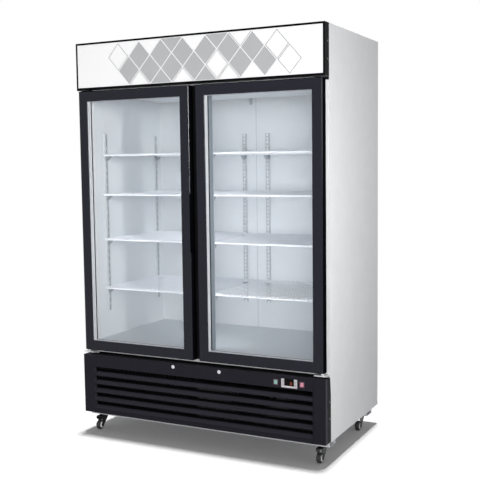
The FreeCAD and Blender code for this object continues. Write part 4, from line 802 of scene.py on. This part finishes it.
def pressed_forks():
    """A fork for each caster: a crown with a hole for the kingpin, and two legs that slope forward to the
    axle, which ends in a nut on either side."""
    side_on = Matrix(((0, 1, 0, 0), (1, 0, 0, 0), (0, 0, 1, 0), (0, 0, 0, 1)))
    laid_flat = Matrix(((1, 0, 0, 0), (0, 0, 1, 0), (0, 1, 0, 0), (0, 0, 0, 1)))
    for corner in CORNERS:
        low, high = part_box(f"{corner}_caster_fork")
        wheel_low, wheel_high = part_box(f"{corner}_caster_wheel")
        x, y, z = ((a + b) / 2 for a, b in zip(wheel_low, wheel_high))
        front, back, top, foot = low[1], high[1], high[2], low[2]
        half = FORK_GAUGE * 3.7
        outline = [
            (front, top), (back, top), (back, top - FORK_GAUGE * 2), (y + half, z - FORK_GAUGE * 1.6),
            (y + half * 0.6, foot + FORK_GAUGE * 0.4), (y, foot), (y - half * 0.45, z - FORK_GAUGE * 2),
            (y - half * 0.35, z + FORK_GAUGE * 1.7), (y + half * 0.5, z + FORK_GAUGE * 8),
            (front + FORK_GAUGE, top - FORK_GAUGE * 5.3), (front, top - FORK_GAUGE * 4.7),
        ]
        shape = bmesh.new()
        slab(shape, outline, (low[0], low[0] + FORK_GAUGE))
        slab(shape, outline, (high[0] - FORK_GAUGE, high[0]))
        slab(shape, ring_of(12, y, z, FORK_GAUGE * 1.3), (low[0] + FORK_GAUGE, high[0] - FORK_GAUGE))
        for inner, outer in ((low[0], low[0] - FORK_GAUGE * 0.7), (high[0], high[0] + FORK_GAUGE * 0.7)):
            slab(shape, ring_of(6, y, z, FORK_GAUGE * 1.7), (inner, outer))
        bmesh.ops.transform(shape, matrix=side_on, verts=shape.verts)
        crown = bmesh.new()
        left, right = low[0] + FORK_GAUGE, high[0] - FORK_GAUGE
        pin = y + CASTER_TRAIL
        reach = (right - left) / 4
        around = [(right, pin + reach), (x + reach, back), (x - reach, back), (left, pin + reach),
                  (left, pin - reach), (left, front), (right, front), (right, pin - reach)]
        frame_slab(crown, around, ring_of(8, x, pin, KINGPIN_HOLE), (top - FORK_GAUGE, top))
        bmesh.ops.transform(crown, matrix=laid_flat, verts=crown.verts)
        plate = mesh_of(crown, "crown")
        shape.from_mesh(plate)
        bpy.data.meshes.remove(plate)
        name = f"{corner}_pressed_fork"
        mesh = mesh_of(shape, name, False)
        item = piece(name, mesh, fork_black, f"{corner}_fork", "fork_black", f"{corner}_caster_fork")
        rounded(item, FORK_EDGE)


pressed_forks()


def caster_hubs():
    """White hubs with a raised boss, set into both faces of each wheel."""
    for corner in CORNERS:
        low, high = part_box(f"{corner}_caster_wheel")
        middle = [(a + b) / 2 for a, b in zip(low, high)]
        for side, sign in SIDES.items():
            face = low[0] if sign < 0 else high[0]
            profile = [(radius * MM, height * MM) for radius, height in HUB_PROFILE]
            turn = Matrix.Rotation(QUARTER * sign, 4, "Y")
            shape = turned(profile, HUB_STEPS, (face, middle[1], middle[2]), turn)
            mesh = mesh_of(shape, f"{corner}_hub_{side}")
            piece(f"{corner}_hub_{side}", mesh, hub_plastic, f"{corner}_wheel", "wheel_rubber")


caster_hubs()


# Controller.

def nought_bars(x, z, wide, tall, bar):
    """The six lit bars of a nought as outlines with pointed ends."""
    side, half, quarter = wide / 2, tall / 2, tall / 4
    tip, gap = bar / 2, bar * 0.6
    bars = []
    flat = side - gap
    for pz in (z + half, z - half):
        bars.append([(x - flat - tip, pz), (x - flat, pz - tip), (x + flat, pz - tip),
                     (x + flat + tip, pz), (x + flat, pz + tip), (x - flat, pz + tip)])
    upright = quarter - gap
    for px in (x + side, x - side):
        for pz in (z + quarter, z - quarter):
            bars.append([(px, pz - upright - tip), (px + tip, pz - upright), (px + tip, pz + upright),
                         (px, pz + upright + tip), (px - tip, pz + upright), (px - tip, pz - upright)])
    return bars


def controls():
    """A lit digit in the display window, and a black fascia round it with a hood above."""
    low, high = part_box("controller_window")
    offset, wide, tall, bar, proud = 10 * MM, 7 * MM, 13 * MM, 2 * MM, 0.1 * MM
    digits = bmesh.new()
    for outline in nought_bars((low[0] + high[0]) / 2 + offset, (low[2] + high[2]) / 2, wide, tall, bar):
        slab(digits, outline, (low[1] - proud, low[1]))
    piece("display_digits", mesh_of(digits, "display_digits", False), digit_glow, CABINET, "display_black")
    bezel_low, bezel_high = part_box("temperature_controller")
    rim, thick, step, edge = 3 * MM, 0.3 * MM, 0.4 * MM, 0.2 * MM
    left, right = low[0] - rim, high[0] + rim
    top, hood_top = bezel_high[2] - step, bezel_high[2] + thick
    outline = [(left, low[2]), (low[0], low[2]), (low[0], high[2]), (high[0], high[2]), (high[0], low[2]),
               (right, low[2]), (right, top), (left, top)]
    fascia = bmesh.new()
    slab(fascia, outline, (bezel_low[1] - thick, bezel_low[1] + thick))
    # The hood is a thin black cap over the bezel's top face: painted shade where that face would catch the
    # light from above.
    hood = [(left, top), (right, top), (right, hood_top), (left, hood_top)]
    slab(fascia, hood, (bezel_low[1] - thick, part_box("base_grille")[0][1]))
    mesh = mesh_of(fascia, "display_fascia", False)
    rounded(piece("display_fascia", mesh, display_black, CABINET, "display_black"), edge)


controls()


# Stage: floor, world, lamps and camera.

# Sizes of the stage in metres, and its levels of light.
FLOOR_REACH = 14
FLOOR_CLOUD = 1.5
FLOOR_WHITE = (0.93, 0.95)
FLOOR_HAZE = 0.06
HAZE_TINT = (1, 0.98, 0.985, 1)
# The floor gives back less light toward the rear: from one place along Y to another, and how much there.
BOUNCE_PLACES = (-1.2, 0.6)
BOUNCE = (0.6, 0.05)
# From one distance to another, the floor turns into the plain white of the backdrop.
BACKDROP_REACH = (0.9, 1.8)
WORLD_LIGHT = 0.24


def seen_share(tree):
    """One for a ray from the eye, a mirror or through glass, and nought for one that carries light."""
    path = add(tree, "ShaderNodeLightPath").outputs
    straight = add(tree, "ShaderNodeMath", {0: path["Is Camera Ray"], 1: path["Is Glossy Ray"]},
                   operation="MAXIMUM").outputs[0]
    return add(tree, "ShaderNodeMath", {0: straight, 1: path["Is Transmission Ray"]},
               operation="MAXIMUM").outputs[0]


def floor_paint():
    """Matt studio paint: a soft white that keeps the shadow and turns into the white round it."""
    material, tree = blank_material("studio_floor_paint")
    place = add(tree, "ShaderNodeTexCoord").outputs["Object"]
    clouds = add(tree, "ShaderNodeTexNoise", {"Vector": place, "Scale": per_metre(FLOOR_CLOUD)})
    tone = add(tree, "ShaderNodeMapRange",
               {"Value": clouds.outputs["Fac"], "To Min": FLOOR_WHITE[0], "To Max": FLOOR_WHITE[1]})
    seen = seen_share(tree)
    along = add(tree, "ShaderNodeSeparateXYZ", {0: place}).outputs["Y"]
    bounce = add(tree, "ShaderNodeMapRange",
                 {"Value": along, "From Min": BOUNCE_PLACES[0], "From Max": BOUNCE_PLACES[1],
                  "To Min": BOUNCE[0], "To Max": BOUNCE[1]})
    level = add(tree, "ShaderNodeMix", {0: seen, 2: bounce.outputs[0], 3: tone.outputs[0]}).outputs[0]
    colour = add(tree, "ShaderNodeCombineColor", {"Red": level, "Green": level, "Blue": level})
    matt = add(tree, "ShaderNodeBsdfDiffuse", {"Color": colour.outputs["Color"]})
    haze = add(tree, "ShaderNodeEmission", {"Color": HAZE_TINT, "Strength": FLOOR_HAZE})
    lit = add(tree, "ShaderNodeAddShader", {0: matt.outputs[0], 1: haze.outputs[0]})
    white = add(tree, "ShaderNodeEmission", {"Color": (1, 1, 1, 1), "Strength": 1.0})
    distance = add(tree, "ShaderNodeVectorMath", {0: place}, operation="LENGTH").outputs["Value"]
    away = add(tree, "ShaderNodeMapRange",
               {"Value": distance, "From Min": BACKDROP_REACH[0], "From Max": BACKDROP_REACH[1]},
               interpolation_type="SMOOTHSTEP")
    share = add(tree, "ShaderNodeMath", {0: seen, 1: away.outputs[0]}, operation="MULTIPLY")
    body = add(tree, "ShaderNodeMixShader", {0: share.outputs[0], 1: lit.outputs[0], 2: white.outputs[0]})
    add(tree, "ShaderNodeOutputMaterial", {"Surface": body.outputs[0]})
    return material


def floor():
    """A wide plane at the foot of the freezer."""
    shape = bmesh.new()
    corners = [(-1, -1), (1, -1), (1, 1), (-1, 1)]
    shape.faces.new([shape.verts.new((x * FLOOR_REACH, y * FLOOR_REACH, 0)) for x, y in corners])
    mesh = mesh_of(shape, "studio_floor", False)
    mesh.materials.append(floor_paint())
    item = bpy.data.objects.new("studio_floor", mesh)
    bpy.context.scene.collection.objects.link(item)


def world():
    """White to the eye and in mirrors, and a softer grey as a light."""
    sky = bpy.data.worlds.new("studio")
    bpy.context.scene.world = sky
    sky.use_nodes = True
    tree = sky.node_tree
    tree.nodes.clear()
    level = add(tree, "ShaderNodeMapRange", {"Value": seen_share(tree), "To Min": WORLD_LIGHT, "To Max": 1.0})
    glow = add(tree, "ShaderNodeBackground", {"Color": (1, 1, 1, 1), "Strength": level.outputs[0]})
    add(tree, "ShaderNodeOutputWorld", {"Surface": glow.outputs[0]})


def keep_light(item, names, state):
    """Keeps a lamp to the named pieces, or keeps it off them."""
    group = bpy.data.collections.new(item.name)
    for label in names:
        group.objects.link(bpy.data.objects[label])
    item.light_linking.receiver_collection = group
    for entry in group.collection_objects:
        entry.light_linking.link_state = state


def hung(name, light, place, way):
    """Puts a lamp at a place and turns it a way."""
    item = bpy.data.objects.new(name, light)
    item.location = place
    item.rotation_euler = way.to_track_quat("-Z", "Y").to_euler()
    bpy.context.scene.collection.objects.link(item)
    return item


def sunlight(height, slant, strength, spread):
    """Parallel light from above, a little from the rear, which sets the shadow under the cabinet.
    The white roof, which would clip under it, has a softer lamp of its own."""
    light = bpy.data.lights.new("overhead", "SUN")
    light.energy = strength
    light.angle = math.radians(spread)
    keep_light(hung("overhead", light, (0, 0, height), Vector((*slant, -1))), ["top_panel"], "EXCLUDE")


def lamp(name, place, aim, size, power, spread=180, lit=(), spared=()):
    """A soft box turned to the freezer. The floor is left to the light from above, so its shadow stays even.
    A lamp may also be kept to the pieces that are named, or spare the mirrors that would show it."""
    light = bpy.data.lights.new(name, "AREA")
    light.shape = "RECTANGLE"
    light.size, light.size_y = size
    light.energy = power
    light.spread = math.radians(spread)
    item = hung(name, light, place, Vector(aim) - Vector(place))
    if lit:
        keep_light(item, lit, "INCLUDE")
    else:
        keep_light(item, ["studio_floor", *spared], "EXCLUDE")


# The camera's place, its turn, its tilt and its lean in degrees, and its lens in millimetres.
CAMERA_PLACE = (2.0958, -4.0183, 1.4171)
CAMERA_ANGLES = (26.8869, 5.0248, 0.7267)
CAMERA_SENSOR = 36
CAMERA_LENS = 63.93


def camera():
    """The place, turn and lens that put the freezer where the picture has it."""
    lens = bpy.data.cameras.new("camera")
    lens.sensor_width = CAMERA_SENSOR
    lens.lens = CAMERA_LENS
    item = bpy.data.objects.new("camera", lens)
    yaw, pitch, roll = (math.radians(angle) for angle in CAMERA_ANGLES)
    forward = Vector((-math.sin(yaw) * math.cos(pitch), math.cos(yaw) * math.cos(pitch), -math.sin(pitch)))
    right = Vector((math.cos(yaw), math.sin(yaw), 0))
    up = right.cross(forward)
    tilted_right = right * math.cos(roll) - up * math.sin(roll)
    tilted_up = right * math.sin(roll) + up * math.cos(roll)
    axes = Matrix((tilted_right, tilted_up, -forward)).transposed().to_4x4()
    item.matrix_world = Matrix.Translation(CAMERA_PLACE) @ axes
    bpy.context.scene.collection.objects.link(item)
    bpy.context.scene.camera = item


PANES = ["left_sealed_glass", "right_sealed_glass"]
SHINY_FACES = [*PANES, "header_sign", "sign_print_filled", "sign_print_drawn"]
WIRE_SHELVES = ["left_wire_shelves", "right_wire_shelves"]
# Widths and heights of the soft boxes, in metres.
STRIP = (0.3, 1.1)
TALL_STRIP = (0.3, 1.7)
WIDE_BOX = (2, 2)

floor()
world()
sunlight(height=6, slant=(0.002, -0.037), strength=2.8, spread=2.2)
lamp("right_strip", place=(2.9, -2.1, 1.3), aim=(0.69, -0.82, 1.3), size=TALL_STRIP, power=6.2, spread=50,
     lit=["right_side_panel"])
lamp("left_strip", place=(3.45, -2.39, 1.97), aim=(-0.3, -0.386, 1.4), size=STRIP, power=6.5, spread=45,
     spared=[*SHINY_FACES, "right_side_panel"])
lamp("front_fill", place=(2.6, -5.2, 1.6), aim=(0, -0.3, 1.2), size=(2, 1.6), power=36, spread=100,
     spared=PANES)
lamp("right_edge", place=(3.45, -1.47, 1.97), aim=(0.68, -0.386, 1.97), size=STRIP, power=14, lit=DOOR_FRAMES)
lamp("left_edge", place=(3.45, -2.39, 1.97), aim=(-0.02, -0.386, 1.97), size=STRIP, power=14, lit=DOOR_FRAMES)
lamp("shelf_light", place=(0.8, -4.0, 2.0), aim=(0, -0.2, 1.1), size=(1.2, 0.6), power=30, spread=100,
     lit=WIRE_SHELVES)
lamp("left_side_light", place=(-4.5, -1.6, 2.4), aim=(-0.69, 0, 1.1), size=WIDE_BOX, power=70,
     lit=["left_side_panel"])
lamp("rear_light", place=(1.2, 4.6, 2.4), aim=(0, 0.39, 1.1), size=WIDE_BOX, power=45,
     lit=["rear_panel", "rear_grille"])
lamp("roof_light", place=(0, -1, 5), aim=(0, 0, 2), size=WIDE_BOX, power=45, lit=["top_panel"])
camera()
bpy.context.scene.view_settings.view_transform = "Standard"
